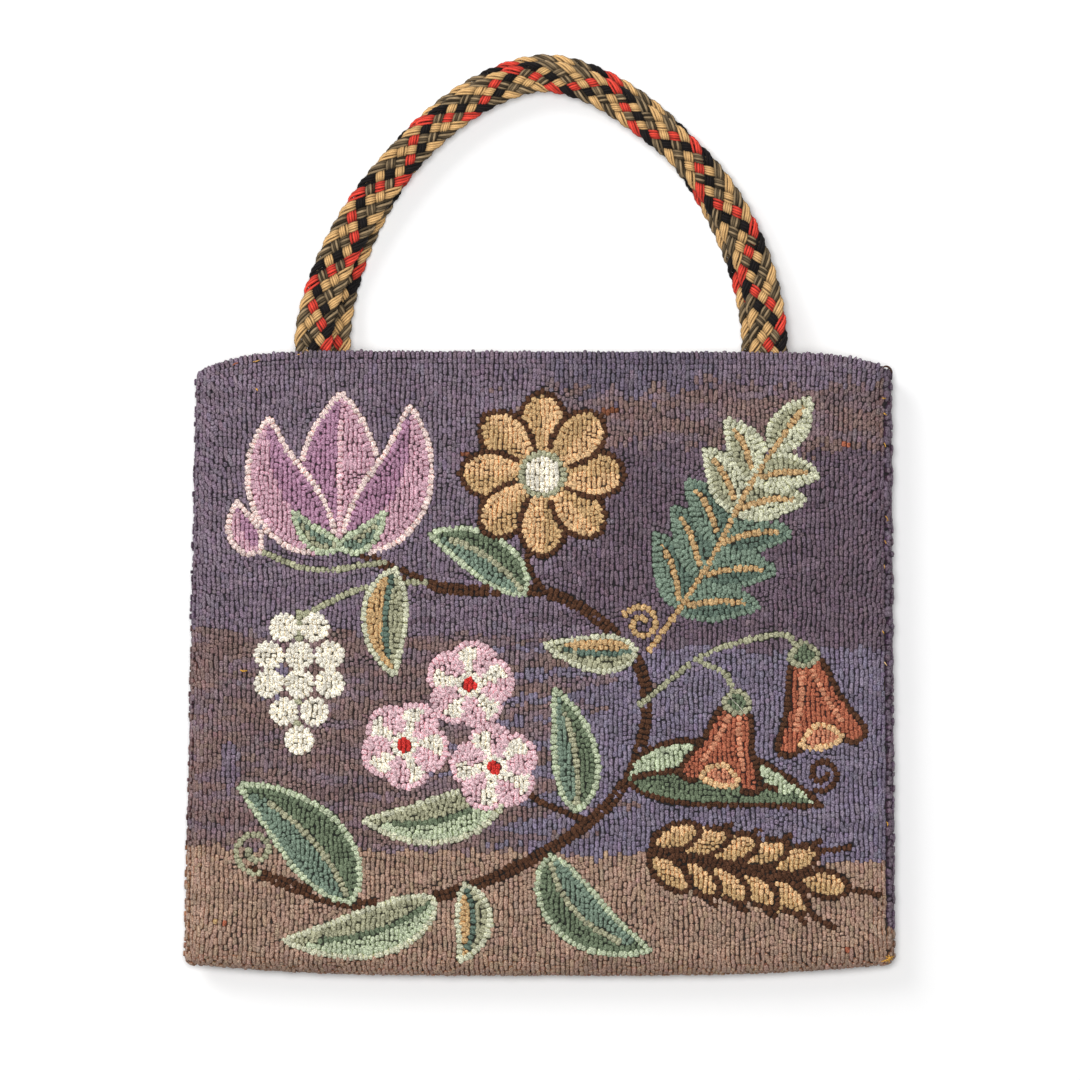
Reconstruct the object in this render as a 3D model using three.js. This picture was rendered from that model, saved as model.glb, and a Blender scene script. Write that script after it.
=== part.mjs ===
// A hooked wool purse lying on its back: two thick panels sewn together round the sides and
// the base, open at the mouth, with two plaited handles sewn inside the mouth.
// Millimetres. X runs across the bag, Y from its base to its handles, Z up through its front.
// The origin is on the floor, under the middle of the whole purse.

import * as THREE from 'three';
import { mergeVertices } from 'three/addons/utils/BufferGeometryUtils.js';

const { degToRad, lerp, smoothstep } = THREE.MathUtils;

// Outline of the bag, seen from the front
const HEIGHT = 250;
const WIDTH_AT_MOUTH = 278;
const WIDTH_AT_BASE = 284;
const HANDLES_ABOVE_MOUTH = 119;
const MOUTH_SHIFT = 1.8; // how far the mouth sits to the right of the base
const BASE_CORNER_RADIUS = 4;
const BASE_BOW = 4.6; // how far the base's ends rise above its middle
const BASE_BOW_POWER = 3.5;
const MOUTH_SLOPE = 1; // fall of the mouth from its left end to its right end
const LEFT_MOUTH_END = { drop: 9, power: 9 }; // fall of the mouth towards its ends
const RIGHT_MOUTH_END = { drop: 7.5, power: 11 };
const MOUTH_LIP = 1; // rounding of the mouth's edge

// Thickness of the bag
const WALL = 4.6; // wool pile on its foundation cloth
const EDGE_ROLL = 10; // width over which an edge turns from face to seam
const SEAM_LEVEL = 8; // height of the base seam above the floor
const CROWN_AT_BASE = 16.5; // height of the front's outer face
const CROWN_AT_MOUTH = 17.6;
const GAP = 0.3; // clearance between touching pieces
const HANDLE_GAP = 0.7; // clearance between the two handles, which curve differently

// The side seams, as angles round the rolled edge: 0 is the outermost point, 90 the crown.
// The front wraps a little under the left edge, and the back comes up over the right edge.
const LEFT_SEAM = degToRad(-25);
const RIGHT_SEAM = degToRad(48);
const SEAM_SPLIT = degToRad(1.6); // half the angle between the two edges of a seam

// Plaited handles
const BAND_WIDTH = 15.4;
const BAND_WIDTH_AT_TOP = 12.8; // the plait draws in where it bends most
const DRAW_IN_FROM = 54; // levels above the mouth where the band narrows
const DRAW_IN_TO = 106;
const BAND_THICKNESS = 5.2;
const BAND_SQUARENESS = 2.6; // power of the band's oval section
const TAB_LENGTH = 24; // hidden end sewn inside the mouth
const LEG_ABOVE_MOUTH = 3.5; // straight run of a leg past the mouth, before the arch
const DROOP_LENGTH = 34; // run in which a handle sinks from the mouth to where it lies
const BAND_SIDES = 12;
const BAND_STEPS = 68;
const ARCH_POINTS = 24;
const HANDLES = [
  {
    name: 'front_handle',
    layer: 1,
    middle: 0.4,
    halfSpan: 90.8,
    leftPower: 1.6, // roundness of the arch's two shoulders
    rightPower: 1.78,
    below: 2.8, // how far its top lies below the taller handle's
  },
  {
    name: 'back_handle',
    layer: 0,
    middle: 2.4,
    halfSpan: 85.8,
    leftPower: 1.74,
    rightPower: 1.74,
    below: 0,
  },
];

// The front bulges over the sewn ends of the handles.
const TAB_BULGE = 3.5;
const BULGE_FLAT = 13;
const BULGE_FADE = 27;
const BULGE_RUN = 95;
const BULGE_MIDDLES = [-87, 90];

// Divisions of a panel
const ROLL_STEPS = 5;
const ACROSS_STEPS = 18;
const ALONG_STEPS = 14;

const BASE_Y = -(HEIGHT + HANDLES_ABOVE_MOUTH) / 2;
const MOUTH_Y = BASE_Y + HEIGHT;

const WOOL = { roughness: 0.95, metalness: 0 };
const PANEL_FINISH = new THREE.MeshStandardMaterial({ color: 0x6a5f6e, ...WOOL });
const BACK_FINISH = new THREE.MeshStandardMaterial({ color: 0x5f5563, ...WOOL });
const PLAIT_FINISH = new THREE.MeshStandardMaterial({ color: 0xa4854f, ...WOOL });

// Half the bag's width at a level, with the round corners of the base.
function halfWidth(y) {
  const above = y - BASE_Y;
  const straight = lerp(WIDTH_AT_BASE, WIDTH_AT_MOUTH, above / HEIGHT) / 2;
  const short = Math.max(BASE_CORNER_RADIUS - above, 0);
  return straight - BASE_CORNER_RADIUS + Math.sqrt(BASE_CORNER_RADIUS ** 2 - short ** 2);
}

// Rise of the base's edge at a share of the half width, from -1 at the left to 1 at the right.
function baseRise(share) {
  return BASE_BOW * Math.abs(share) ** BASE_BOW_POWER;
}

// Level of the mouth's edge at such a share.
function mouthLevel(share) {
  const end = share < 0 ? LEFT_MOUTH_END : RIGHT_MOUTH_END;
  const fall = end.drop * Math.abs(share) ** end.power;
  return MOUTH_Y - MOUTH_LIP - fall - (MOUTH_SLOPE * (1 + share)) / 2;
}

// Height of the front's outer face away from its rolled edges.
function crown(x, y) {
  const plain = lerp(CROWN_AT_BASE, CROWN_AT_MOUTH, (y - BASE_Y) / HEIGHT);
  const nearMouth = smoothstep(y, MOUTH_Y - BULGE_RUN, MOUTH_Y - TAB_LENGTH - GAP);
  const overTabs = BULGE_MIDDLES.map((middle) => {
    const away = Math.abs(x - middle) - BULGE_FLAT;
    return 1 - smoothstep(away, 0, BULGE_FADE);
  });
  return plain + TAB_BULGE * nearMouth * Math.max(...overTabs);
}

// Stations across a panel: each turns round the left edge, crosses the face or turns round the
// right edge. turn is the angle on the roll, side the edge it belongs to, share the way across.
function stationsAcross(leftTurn, rightTurn) {
  const quarter = Math.PI / 2;
  const stations = [];
  for (let i = 0; i < ROLL_STEPS; i += 1) {
    stations.push({ side: -1, turn: lerp(leftTurn, quarter, i / ROLL_STEPS) });
  }
  for (let i = 0; i <= ACROSS_STEPS; i += 1) {
    stations.push({ side: 0, turn: quarter, share: i / ACROSS_STEPS });
  }
  for (let i = 1; i <= ROLL_STEPS; i += 1) {
    stations.push({ side: 1, turn: lerp(quarter, rightTurn, i / ROLL_STEPS) });
  }
  return stations;
}

// Stations along a panel, from the base seam over the rolled edge and up to the mouth.
function stationsAlong() {
  const quarter = Math.PI / 2;
  const stations = [];
  for (let i = 0; i < ROLL_STEPS; i += 1) {
    stations.push({ turn: lerp(SEAM_SPLIT, quarter, i / ROLL_STEPS), share: 0 });
  }
  for (let i = 0; i <= ALONG_STEPS; i += 1) {
    stations.push({ turn: quarter, share: i / ALONG_STEPS });
  }
  return stations;
}

// How far a point on a rolled edge is from the outline, at a depth below the outer face.
function inset(turn, depth) {
  return depth + (EDGE_ROLL - depth) * (1 - Math.cos(turn));
}

// Place of a panel's point in plan, from its two stations and its depth below the outer face.
function planPlace(across, along, depth) {
  const fromBase = inset(along.turn, depth);
  const level = lerp(BASE_Y + fromBase, MOUTH_Y, along.share);
  const half = halfWidth(level);
  const side = half - inset(across.turn, depth);
  const flat = half - EDGE_ROLL;
  const x = across.side === 0 ? lerp(-flat, flat, across.share) : across.side * side;
  const share = x / half;
  const y = lerp(BASE_Y + baseRise(share) + fromBase, mouthLevel(share), along.share);
  return { x: x + (MOUTH_SHIFT * (level - BASE_Y)) / HEIGHT, y };
}

// Height of a panel's point. A panel's own face lies on its side of the seam level; a turn below
// zero carries its edge over to the other side.
function heightOf(facing, across, along, depth, place) {
  const rise = Math.sin(across.turn) * Math.sin(along.turn) * facing;
  const start = SEAM_LEVEL + (facing * GAP) / 2;
  const reach = rise > 0 ? crown(place.x, place.y) - depth - start : start - depth;
  return start + reach * rise;
}

// A panel: a slab of wall thickness bent along its stations. facing is 1 for the front, -1 for
// the back.
function panel(name, facing, leftTurn, rightTurn, material) {
  const across = stationsAcross(leftTurn, rightTurn);
  const along = stationsAlong();
  const layers = 2;
  const geometry = new THREE.BoxGeometry(1, 1, 1, across.length - 1, along.length - 1, layers);
  geometry.deleteAttribute('normal');
  geometry.deleteAttribute('uv');
  const points = geometry.attributes.position;
  for (let i = 0; i < points.count; i += 1) {
    const column = across[Math.round((points.getX(i) + 0.5) * (across.length - 1))];
    const row = along[Math.round((points.getY(i) + 0.5) * (along.length - 1))];
    const below = 0.5 - facing * points.getZ(i);
    const place = planPlace(column, row, below * WALL);
    const height = heightOf(facing, column, row, below * WALL, place);
    const lip = row.share === 1 ? MOUTH_LIP * Math.sin(below * Math.PI) : 0;
    points.setXYZ(i, place.x, place.y + lip, height);
  }
  return piece(name, geometry, material);
}

// A named mesh with its shared points joined and smooth normals.
function piece(name, geometry, material) {
  const joined = mergeVertices(geometry);
  joined.computeVertexNormals();
  const mesh = new THREE.Mesh(joined, material);
  mesh.name = name;
  return mesh;
}

// Height of a handle's centre line: sewn at its own layer inside the mouth, then sinking to lie
// on the floor or on the handle under it.
function handleHeight(layer, y) {
  const stacked = BAND_THICKNESS / 2 + layer * (BAND_THICKNESS + HANDLE_GAP);
  return stacked + (WALL + GAP) * (1 - smoothstep(y, MOUTH_Y + GAP, MOUTH_Y + DROOP_LENGTH));
}

// Centre line of a handle: up out of the mouth on the left, over the arch and down on the right.
function handleLine({ middle, halfSpan, leftPower, rightPower, below, layer }) {
  const spring = MOUTH_Y + LEG_ABOVE_MOUTH;
  const rise = HANDLES_ABOVE_MOUTH - LEG_ABOVE_MOUTH - BAND_WIDTH_AT_TOP / 2 - below;
  const tabEnd = MOUTH_Y - TAB_LENGTH;
  const points = [];
  const add = (x, y) => points.push(new THREE.Vector3(x, y, handleHeight(layer, y)));
  add(middle - halfSpan, tabEnd);
  add(middle - halfSpan, (tabEnd + spring) / 2);
  for (let i = 0; i <= ARCH_POINTS; i += 1) {
    const angle = (i / ARCH_POINTS) * Math.PI;
    const power = 2 / (i * 2 <= ARCH_POINTS ? leftPower : rightPower);
    const across = Math.sign(Math.cos(angle)) * Math.abs(Math.cos(angle)) ** power;
    add(middle - halfSpan * across, spring + rise * Math.abs(Math.sin(angle)) ** power);
  }
  add(middle + halfSpan, (tabEnd + spring) / 2);
  add(middle + halfSpan, tabEnd);
  return new THREE.CatmullRomCurve3(points);
}

// Width of a handle's band at a level.
function bandWidth(y) {
  const drawn = smoothstep(y, MOUTH_Y + DRAW_IN_FROM, MOUTH_Y + DRAW_IN_TO);
  return lerp(BAND_WIDTH, BAND_WIDTH_AT_TOP, drawn);
}

// A handle: a closed cylinder whose rings become flat ovals set square to the centre line, with
// a flat facet underneath.
function handle(settings) {
  const line = handleLine(settings);
  const half = Math.PI / BAND_SIDES;
  const roundness = 2 / BAND_SQUARENESS;
  const lowest = Math.cos(half) ** roundness;
  const geometry = new THREE.CylinderGeometry(1, 1, 1, BAND_SIDES, BAND_STEPS);
  geometry.deleteAttribute('normal');
  geometry.deleteAttribute('uv');
  geometry.rotateY(half);
  const points = geometry.attributes.position;
  const oval = (value) => Math.sign(value) * Math.abs(value) ** roundness;
  for (let i = 0; i < points.count; i += 1) {
    const along = points.getY(i) + 0.5;
    const centre = line.getPointAt(along);
    const heading = line.getTangentAt(along);
    const sideways = new THREE.Vector3(heading.y, -heading.x, 0).normalize();
    const up = new THREE.Vector3().crossVectors(sideways, heading);
    const across = (bandWidth(centre.y) / 2) * oval(points.getX(i));
    const lift = ((BAND_THICKNESS / 2) * oval(points.getZ(i))) / lowest;
    centre.addScaledVector(sideways, across).addScaledVector(up, lift);
    points.setXYZ(i, centre.x, centre.y, centre.z);
  }
  return piece(settings.name, geometry, PLAIT_FINISH);
}

const purse = new THREE.Group();
purse.add(panel('front_panel', 1, LEFT_SEAM + SEAM_SPLIT, RIGHT_SEAM + SEAM_SPLIT, PANEL_FINISH));
purse.add(panel('back_panel', -1, SEAM_SPLIT - LEFT_SEAM, SEAM_SPLIT - RIGHT_SEAM, BACK_FINISH));
HANDLES.forEach((settings) => purse.add(handle(settings)));

export default purse;
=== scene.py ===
"""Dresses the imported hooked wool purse: hooked panels, plaited handles, loose ends and a studio.

Sizes are in millimetres, as in the part's source, and meshes are in metres.
"""

from __future__ import annotations

import logging
import math
from dataclasses import dataclass
from enum import Enum
from typing import Protocol

import bpy
import numpy as np
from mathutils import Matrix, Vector
from mathutils.kdtree import KDTree


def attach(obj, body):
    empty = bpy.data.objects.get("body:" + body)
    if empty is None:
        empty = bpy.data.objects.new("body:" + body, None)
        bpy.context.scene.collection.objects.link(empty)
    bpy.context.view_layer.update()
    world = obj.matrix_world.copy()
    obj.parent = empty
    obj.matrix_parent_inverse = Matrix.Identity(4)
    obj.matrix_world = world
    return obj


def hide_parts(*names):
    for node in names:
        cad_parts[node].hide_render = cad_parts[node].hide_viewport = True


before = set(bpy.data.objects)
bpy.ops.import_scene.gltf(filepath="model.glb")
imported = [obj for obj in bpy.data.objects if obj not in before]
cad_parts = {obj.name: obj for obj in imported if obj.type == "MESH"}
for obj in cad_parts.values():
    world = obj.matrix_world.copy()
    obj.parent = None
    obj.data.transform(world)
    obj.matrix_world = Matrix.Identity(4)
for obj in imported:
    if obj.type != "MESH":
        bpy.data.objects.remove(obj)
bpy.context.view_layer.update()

LOG = logging.getLogger("purse")
MM = 0.001
QUARTER = math.pi / 2
BODY = "root"
# Colour layer on the meshes: dye together with painted shade, and for loops each point's share of height
# in its alpha.
DYE_AND_SHADE_LAYER = "dye"
BAKE_MAP = "OFBake"

Pair = tuple[float, float]
Spot = tuple[float, float, float]
Array = np.ndarray
Arrays = tuple[Array, ...]
Rng = np.random.Generator
Material = bpy.types.Material


class Dye(Enum):
    """Dyed wools and bare fibres, by the sRGB colour of a well-lit loop."""

    PLUM_GREY = (123, 108, 121)
    PLUM_BLUE = (124, 114, 131)
    PLUM_SLATE = (109, 98, 112)
    PLUM_DARK = (108, 92, 103)
    MAUVE_BROWN = (128, 105, 101)
    BASE_BROWN = (162, 135, 118)
    LILAC = (196, 158, 170)
    LILAC_DEEP = (168, 128, 151)
    LILAC_PALE = (224, 202, 196)
    TEAL = (117, 134, 118)
    TEAL_DEEP = (94, 111, 99)
    SAGE = (160, 159, 132)
    SAGE_PALE = (195, 195, 170)
    MINT = (178, 187, 159)
    LEAF_DEEP = (105, 117, 94)
    OCHRE = (189, 157, 113)
    TAN = (212, 176, 132)
    RUST = (164, 97, 73)
    RUST_PALE = (193, 132, 103)
    BARK = (80, 53, 38)
    CREAM = (229, 223, 208)
    PINK = (216, 181, 187)
    RED = (199, 55, 50)
    PLAIT_RED = (246, 80, 64)
    PLAIT_TAN = (246, 198, 134)
    PLAIT_GREY = (137, 117, 89)
    PLAIT_BLACK = (33, 29, 29)
    JUTE = (186, 142, 84)
    STRAW = (214, 160, 70)
    UMBER = (118, 74, 54)

    @property
    def light(self) -> Array:
        """The dye as a linear colour."""
        share = np.array(self.value, float) / 255.0
        return np.where(share <= 0.04045, share / 12.92, ((share + 0.055) / 1.055) ** 2.4)


def smoothstep(value: Array, start: float, end: float) -> Array:
    """Eases from 0 to 1 between two values.

    Args:
        value: The values to ease.
        start: Where the result leaves 0.
        end: Where the result reaches 1.

    Returns:
        The eased values.
    """
    share = np.clip((np.asarray(value, float) - start) / (end - start), 0.0, 1.0)
    return share * share * (3.0 - 2.0 * share)


def unit(rows: Array) -> Array:
    """The rows, each brought to a length of 1."""
    return rows / np.linalg.norm(rows, axis=1, keepdims=True)


def run_lengths(line: Array) -> Array:
    """Length of a line from its start to each of its points."""
    return np.concatenate([[0.0], np.cumsum(np.linalg.norm(np.diff(line, axis=0), axis=1))])


def ring_points(count: int, start: float = 0.0) -> Array:
    """Evenly spaced points on a circle of radius 1, from a start angle."""
    angles = np.arange(count) * math.tau / count + start
    return np.stack([np.cos(angles), np.sin(angles)], 1)


def tube_quads(rings: int, sides: int) -> Arrays:
    """Wall quads of a tube whose points run ring by ring.

    Args:
        rings: Rings along the tube.
        sides: Points in a ring.

    Returns:
        The quads, with the ring and the side at which each begins.
    """
    grid = np.meshgrid(np.arange(rings - 1), np.arange(sides), indexing="ij")
    ring, side = (numbers.ravel() for numbers in grid)
    near, far, following = ring * sides, (ring + 1) * sides, (side + 1) % sides
    return np.stack([near + side, near + following, far + following, far + side], 1), ring, side


def tree_of(places: Array) -> KDTree:
    """A search tree of places on the cloth.

    Args:
        places: The places, a row each.

    Returns:
        The tree, with the places numbered in their order.
    """
    tree = KDTree(len(places))
    for number, place in enumerate(places):
        tree.insert((*place, 0.0), number)
    tree.balance()
    return tree


def nearest(places: Array, others: Array) -> Arrays:
    """For each place on the cloth, the nearest of some others.

    Args:
        places: The places, a row each.
        others: The places that are searched.

    Returns:
        The numbers of the nearest others and the distances to them.
    """
    tree = tree_of(others)
    found = [tree.find((*place, 0.0)) for place in places]
    return np.array([number for _, number, _ in found]), np.array([gap for _, _, gap in found])


def spaced(line: Array, step: float, closed: bool = False) -> Array:
    """Points at an even spacing along a line.

    Args:
        line: The line's points, one row each.
        step: The spacing that is aimed at.
        closed: Whether the line runs back to its start.

    Returns:
        The new points, without the repeated start of a closed line.
    """
    points = np.vstack([line, line[:1]]) if closed else line
    travelled = run_lengths(points)
    count = max(int(round(travelled[-1] / step)), 2)
    places = np.linspace(0.0, travelled[-1], count + 1)
    even = np.stack([np.interp(places, travelled, points[:, axis]) for axis in range(points.shape[1])], 1)
    return even[:-1] if closed else even


def smooth_line(knots: list[Pair], closed: bool = False, parts: int = 12) -> Array:
    """A smooth line through a few knots.

    Args:
        knots: The points that the line passes.
        closed: Whether the line runs back to its first knot.
        parts: Short pieces between two knots.

    Returns:
        The line's points.
    """
    own = np.array(knots, float)
    if closed:
        own = np.vstack([own[-1:], own, own[:2]])
    else:
        own = np.vstack([2 * own[:1] - own[1:2], own, 2 * own[-1:] - own[-2:-1]])
    share = np.linspace(0.0, 1.0, parts, endpoint=False)[:, None]
    pieces = []
    for before, start, end, after in zip(own, own[1:], own[2:], own[3:]):
        bend = 2 * before - 5 * start + 4 * end - after
        twist = 3 * (start - end) + after - before
        pieces.append(start + 0.5 * share * (end - before + share * (bend + share * twist)))
    if not closed:
        pieces.append(own[-2:-1])
    return np.vstack(pieces)


def inside(outline: Array, points: Array) -> Array:
    """Which points lie inside a closed outline.

    Args:
        outline: The outline's points.
        points: The points that are tested.

    Returns:
        True for each point inside.
    """
    found = np.zeros(len(points), bool)
    for start, end in zip(outline, np.roll(outline, -1, axis=0)):
        crosses = (start[1] > points[:, 1]) != (end[1] > points[:, 1])
        drop = end[1] - start[1] if end[1] != start[1] else 1.0
        at = start[0] + (points[:, 1] - start[1]) / drop * (end[0] - start[0])
        found ^= crosses & (points[:, 0] < at)
    return found


@dataclass(frozen=True)
class Ripple:
    """Soft random waves over the face.

    A seed picks them, length is the longest wavelength, and stretch is how much longer they are across.
    """

    seed: int
    length: float
    stretch: float = 1.0
    waves: int = 10
    shortest: float = 0.35
    damping: float = 3.0

    def at(self, x: Array, y: Array) -> Array:
        """Heights of the waves.

        Args:
            x: Places across.
            y: Places along.

        Returns:
            Values mostly between -1 and 1.
        """
        rng = np.random.default_rng(self.seed)
        total = np.zeros_like(np.asarray(x, float))
        for _ in range(self.waves):
            heading, phase = rng.uniform(0.0, math.tau, 2)
            pitch = math.tau / (self.length * rng.uniform(self.shortest, 1.0))
            total += np.sin(pitch * (x * math.cos(heading) / self.stretch + y * math.sin(heading)) + phase)
        return total / self.damping


class Bench:
    """The nodes of one material, built by expressions on its sockets."""

    def __init__(self, name: str) -> None:
        """Starts an empty material.

        Args:
            name: The material's name.
        """
        self.material = bpy.data.materials.new(name)
        self.material.use_nodes = True
        self.tree = self.material.node_tree
        self.tree.nodes.clear()

    def add(
        self,
        kind: str,
        settings: dict[str, object] | None = None,
        sockets: dict[int | str, object] | None = None,
        output: int | str = 0,
    ) -> Shade:
        """Adds one node.

        Args:
            kind: The node's type.
            settings: Its settings, set first; stops are those of a ramp.
            sockets: Values or links of its sockets.
            output: The output that is handed on.

        Returns:
            The node's output.
        """
        node = self.tree.nodes.new(kind)
        for name, value in (settings or {}).items():
            if name == "stops":
                ramp = node.color_ramp
                while len(ramp.elements) < len(value):
                    ramp.elements.new(1.0)
                for element, (place, grey) in zip(ramp.elements, value):
                    element.position = place
                    element.color = (grey, grey, grey, 1.0)
            else:
                setattr(node, name, value)
        for key, value in (sockets or {}).items():
            self.feed(node.inputs[key], value)
        return Shade(self, node.outputs[output])

    def feed(self, socket: bpy.types.NodeSocket, value: object) -> None:
        """Links a socket, or sets it.

        Args:
            socket: The socket.
            value: A node's output, a number or a row of numbers.
        """
        if isinstance(value, Shade):
            self.tree.links.new(value.socket, socket)
        elif socket.type == "RGBA":
            row = (value,) * 3 if isinstance(value, (int, float)) else tuple(value)[:3]
            socket.default_value = (*row, 1.0)
        else:
            socket.default_value = value

    def surface(self, sockets: dict[int | str, object]) -> Material:
        """Ends the material in one shader.

        Args:
            sockets: Values or links of the shader's sockets.

        Returns:
            The finished material.
        """
        shader = self.add("ShaderNodeBsdfPrincipled", {}, sockets)
        output = self.tree.nodes.new("ShaderNodeOutputMaterial")
        self.feed(output.inputs["Surface"], shader)
        return self.material


class Shade:
    """A socket's value or colour, with the usual operators."""

    def __init__(self, bench: Bench, socket: bpy.types.NodeSocket) -> None:
        """Wraps one output of a node on a bench."""
        self.bench = bench
        self.socket = socket

    def _joined(self, operation: str, first: object, second: object) -> Shade:
        """Joins two operands by the node that fits their kinds.

        Args:
            operation: ADD, SUBTRACT or MULTIPLY.
            first: The left operand.
            second: The right operand.

        Returns:
            The result.
        """
        kinds = {part.socket.type for part in (first, second) if isinstance(part, Shade)}
        if "RGBA" in kinds:
            blend = {"data_type": "RGBA", "blend_type": operation}
            return self.bench.add("ShaderNodeMix", blend, {0: 1.0, 6: first, 7: second}, output=2)
        return self.bench.add("ShaderNodeMath", {"operation": operation}, {0: first, 1: second})

    def __add__(self, other: object) -> Shade:
        """Sum."""
        return self._joined("ADD", self, other)

    def __radd__(self, other: object) -> Shade:
        """Sum, with this on the right."""
        return self._joined("ADD", other, self)

    def __rsub__(self, other: object) -> Shade:
        """Difference, with this on the right."""
        return self._joined("SUBTRACT", other, self)

    def __mul__(self, other: object) -> Shade:
        """Product."""
        return self._joined("MULTIPLY", self, other)

    def __rmul__(self, other: object) -> Shade:
        """Product, with this on the right."""
        return self._joined("MULTIPLY", other, self)


@dataclass(frozen=True)
class WoolFinish:
    """Dyed wool yarn: its colour rides on the mesh, and fine fibres mottle and roughen it.

    Between the stops of the painted foot shade, shares of a loop's height, the colour goes from a painted
    deep shade at the loop's foot, tinted by its own dye, to the dye's full light.
    """

    name: str
    fibre: float = 0.46
    mottle: float = 1.15
    roughness: float = 0.86
    sheen: float = 0.05
    gloss: float = 0.08
    relief: float = 0.7
    fuzz_height: float = 0.3
    fuzz_roughness: float = 0.1
    painted_gap_tint: float = 1.5
    painted_foot_shade_stops: tuple[Pair, Pair] = ((0.55, 0.0), (0.88, 1.0))
    fibre_stops: tuple[Pair, Pair] = ((0.36, 0.0), (0.64, 1.0))
    fibre_mean: float = 0.585

    def material(self) -> Material:
        """The finished material."""
        bench = Bench(self.name)
        place = bench.add("ShaderNodeTexCoord", output="Object")
        dye = bench.add("ShaderNodeAttribute", {"attribute_name": DYE_AND_SHADE_LAYER}, output="Color")
        height = bench.add("ShaderNodeAttribute", {"attribute_name": DYE_AND_SHADE_LAYER}, output="Alpha")
        # Painted shade: the colour darkens down each loop's wall to its foot, where the loops meet, and
        # takes a deep tint of its own dye there.
        foot = bench.add("ShaderNodeValToRGB", {"stops": self.painted_foot_shade_stops}, {0: height})
        per_metre = 1.0 / (self.fibre * MM)
        fuzz = bench.add(
            "ShaderNodeTexNoise",
            {"noise_dimensions": "3D"},
            {"Vector": place, "Scale": per_metre, "Detail": 2.0, "Roughness": 0.6},
        )
        fibres = bench.add("ShaderNodeValToRGB", {"stops": self.fibre_stops}, {0: fuzz})
        tone = 1.0 - self.fibre_mean * self.mottle + fibres * self.mottle
        raised = {"Strength": self.relief, "Distance": self.fuzz_height * MM, "Height": fuzz}
        return bench.surface(
            {
                "Base Color": dye * tone * (foot + (1.0 - foot) * self.painted_gap_tint * dye),
                "Roughness": self.roughness + self.fuzz_roughness * fuzz,
                "Sheen Weight": self.sheen,
                "Sheen Roughness": 0.5,
                "Specular IOR Level": self.gloss,
                "Normal": bench.add("ShaderNodeBump", {}, raised),
            }
        )


@dataclass(frozen=True)
class JuteFinish:
    """Coarse plain-woven jute, as the foundation cloth shows between and behind the loops."""

    name: str
    thread: float = 1.9
    depth: float = 0.5
    relief: float = 0.8
    slubs_per_metre: float = 900.0
    slub_shade: float = 0.5
    weave_shade: float = 0.55
    roughness: float = 0.8
    slub_roughness: float = 0.15

    def material(self) -> Material:
        """The finished material."""
        bench = Bench(self.name)
        place = bench.add("ShaderNodeTexCoord", output="Object")
        pitch = math.tau / (self.thread * MM)
        waves = []
        for axis in ("X", "Y"):
            part = bench.add("ShaderNodeSeparateXYZ", {}, {0: place}, output=axis) * pitch
            waves.append(bench.add("ShaderNodeMath", {"operation": "SINE"}, {0: part}))
        weave = 0.5 + 0.25 * (waves[0] + waves[1])
        grain = {"Vector": place, "Scale": self.slubs_per_metre, "Detail": 3.0}
        slubs = bench.add("ShaderNodeTexNoise", {}, grain)
        light_slubs = 1.0 - self.slub_shade + self.slub_shade * slubs
        # Painted shade: the colour darkens where the weave's bumps dip, in its hollows.
        light_weave = 1.0 - self.weave_shade + self.weave_shade * weave
        tint = bench.add("ShaderNodeAttribute", {"attribute_name": DYE_AND_SHADE_LAYER}, output="Color")
        raised = {"Strength": self.relief, "Distance": self.depth * MM, "Height": weave}
        return bench.surface(
            {
                "Base Color": tint * (light_slubs * light_weave),
                "Roughness": self.roughness + self.slub_roughness * slubs,
                "Normal": bench.add("ShaderNodeBump", {}, raised),
            }
        )


@dataclass(frozen=True)
class FloorFinish:
    """Matt white studio paper with a trace of grain."""

    name: str
    white: float = 0.9
    greying: float = 0.01
    grains_per_metre: float = 40.0
    roughness: float = 0.9
    grain_roughness: float = 0.02

    def material(self) -> Material:
        """The finished material."""
        bench = Bench(self.name)
        place = bench.add("ShaderNodeTexCoord", output="Object")
        grain = bench.add("ShaderNodeTexNoise", {}, {"Vector": place, "Scale": self.grains_per_metre})
        paper = bench.add(
            "ShaderNodeMix",
            {"data_type": "RGBA"},
            {0: grain, 6: (self.white - self.greying,) * 3, 7: (self.white,) * 3},
            output=2,
        )
        roughness = self.roughness + self.grain_roughness * grain
        return bench.surface({"Base Color": paper, "Roughness": roughness})


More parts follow.
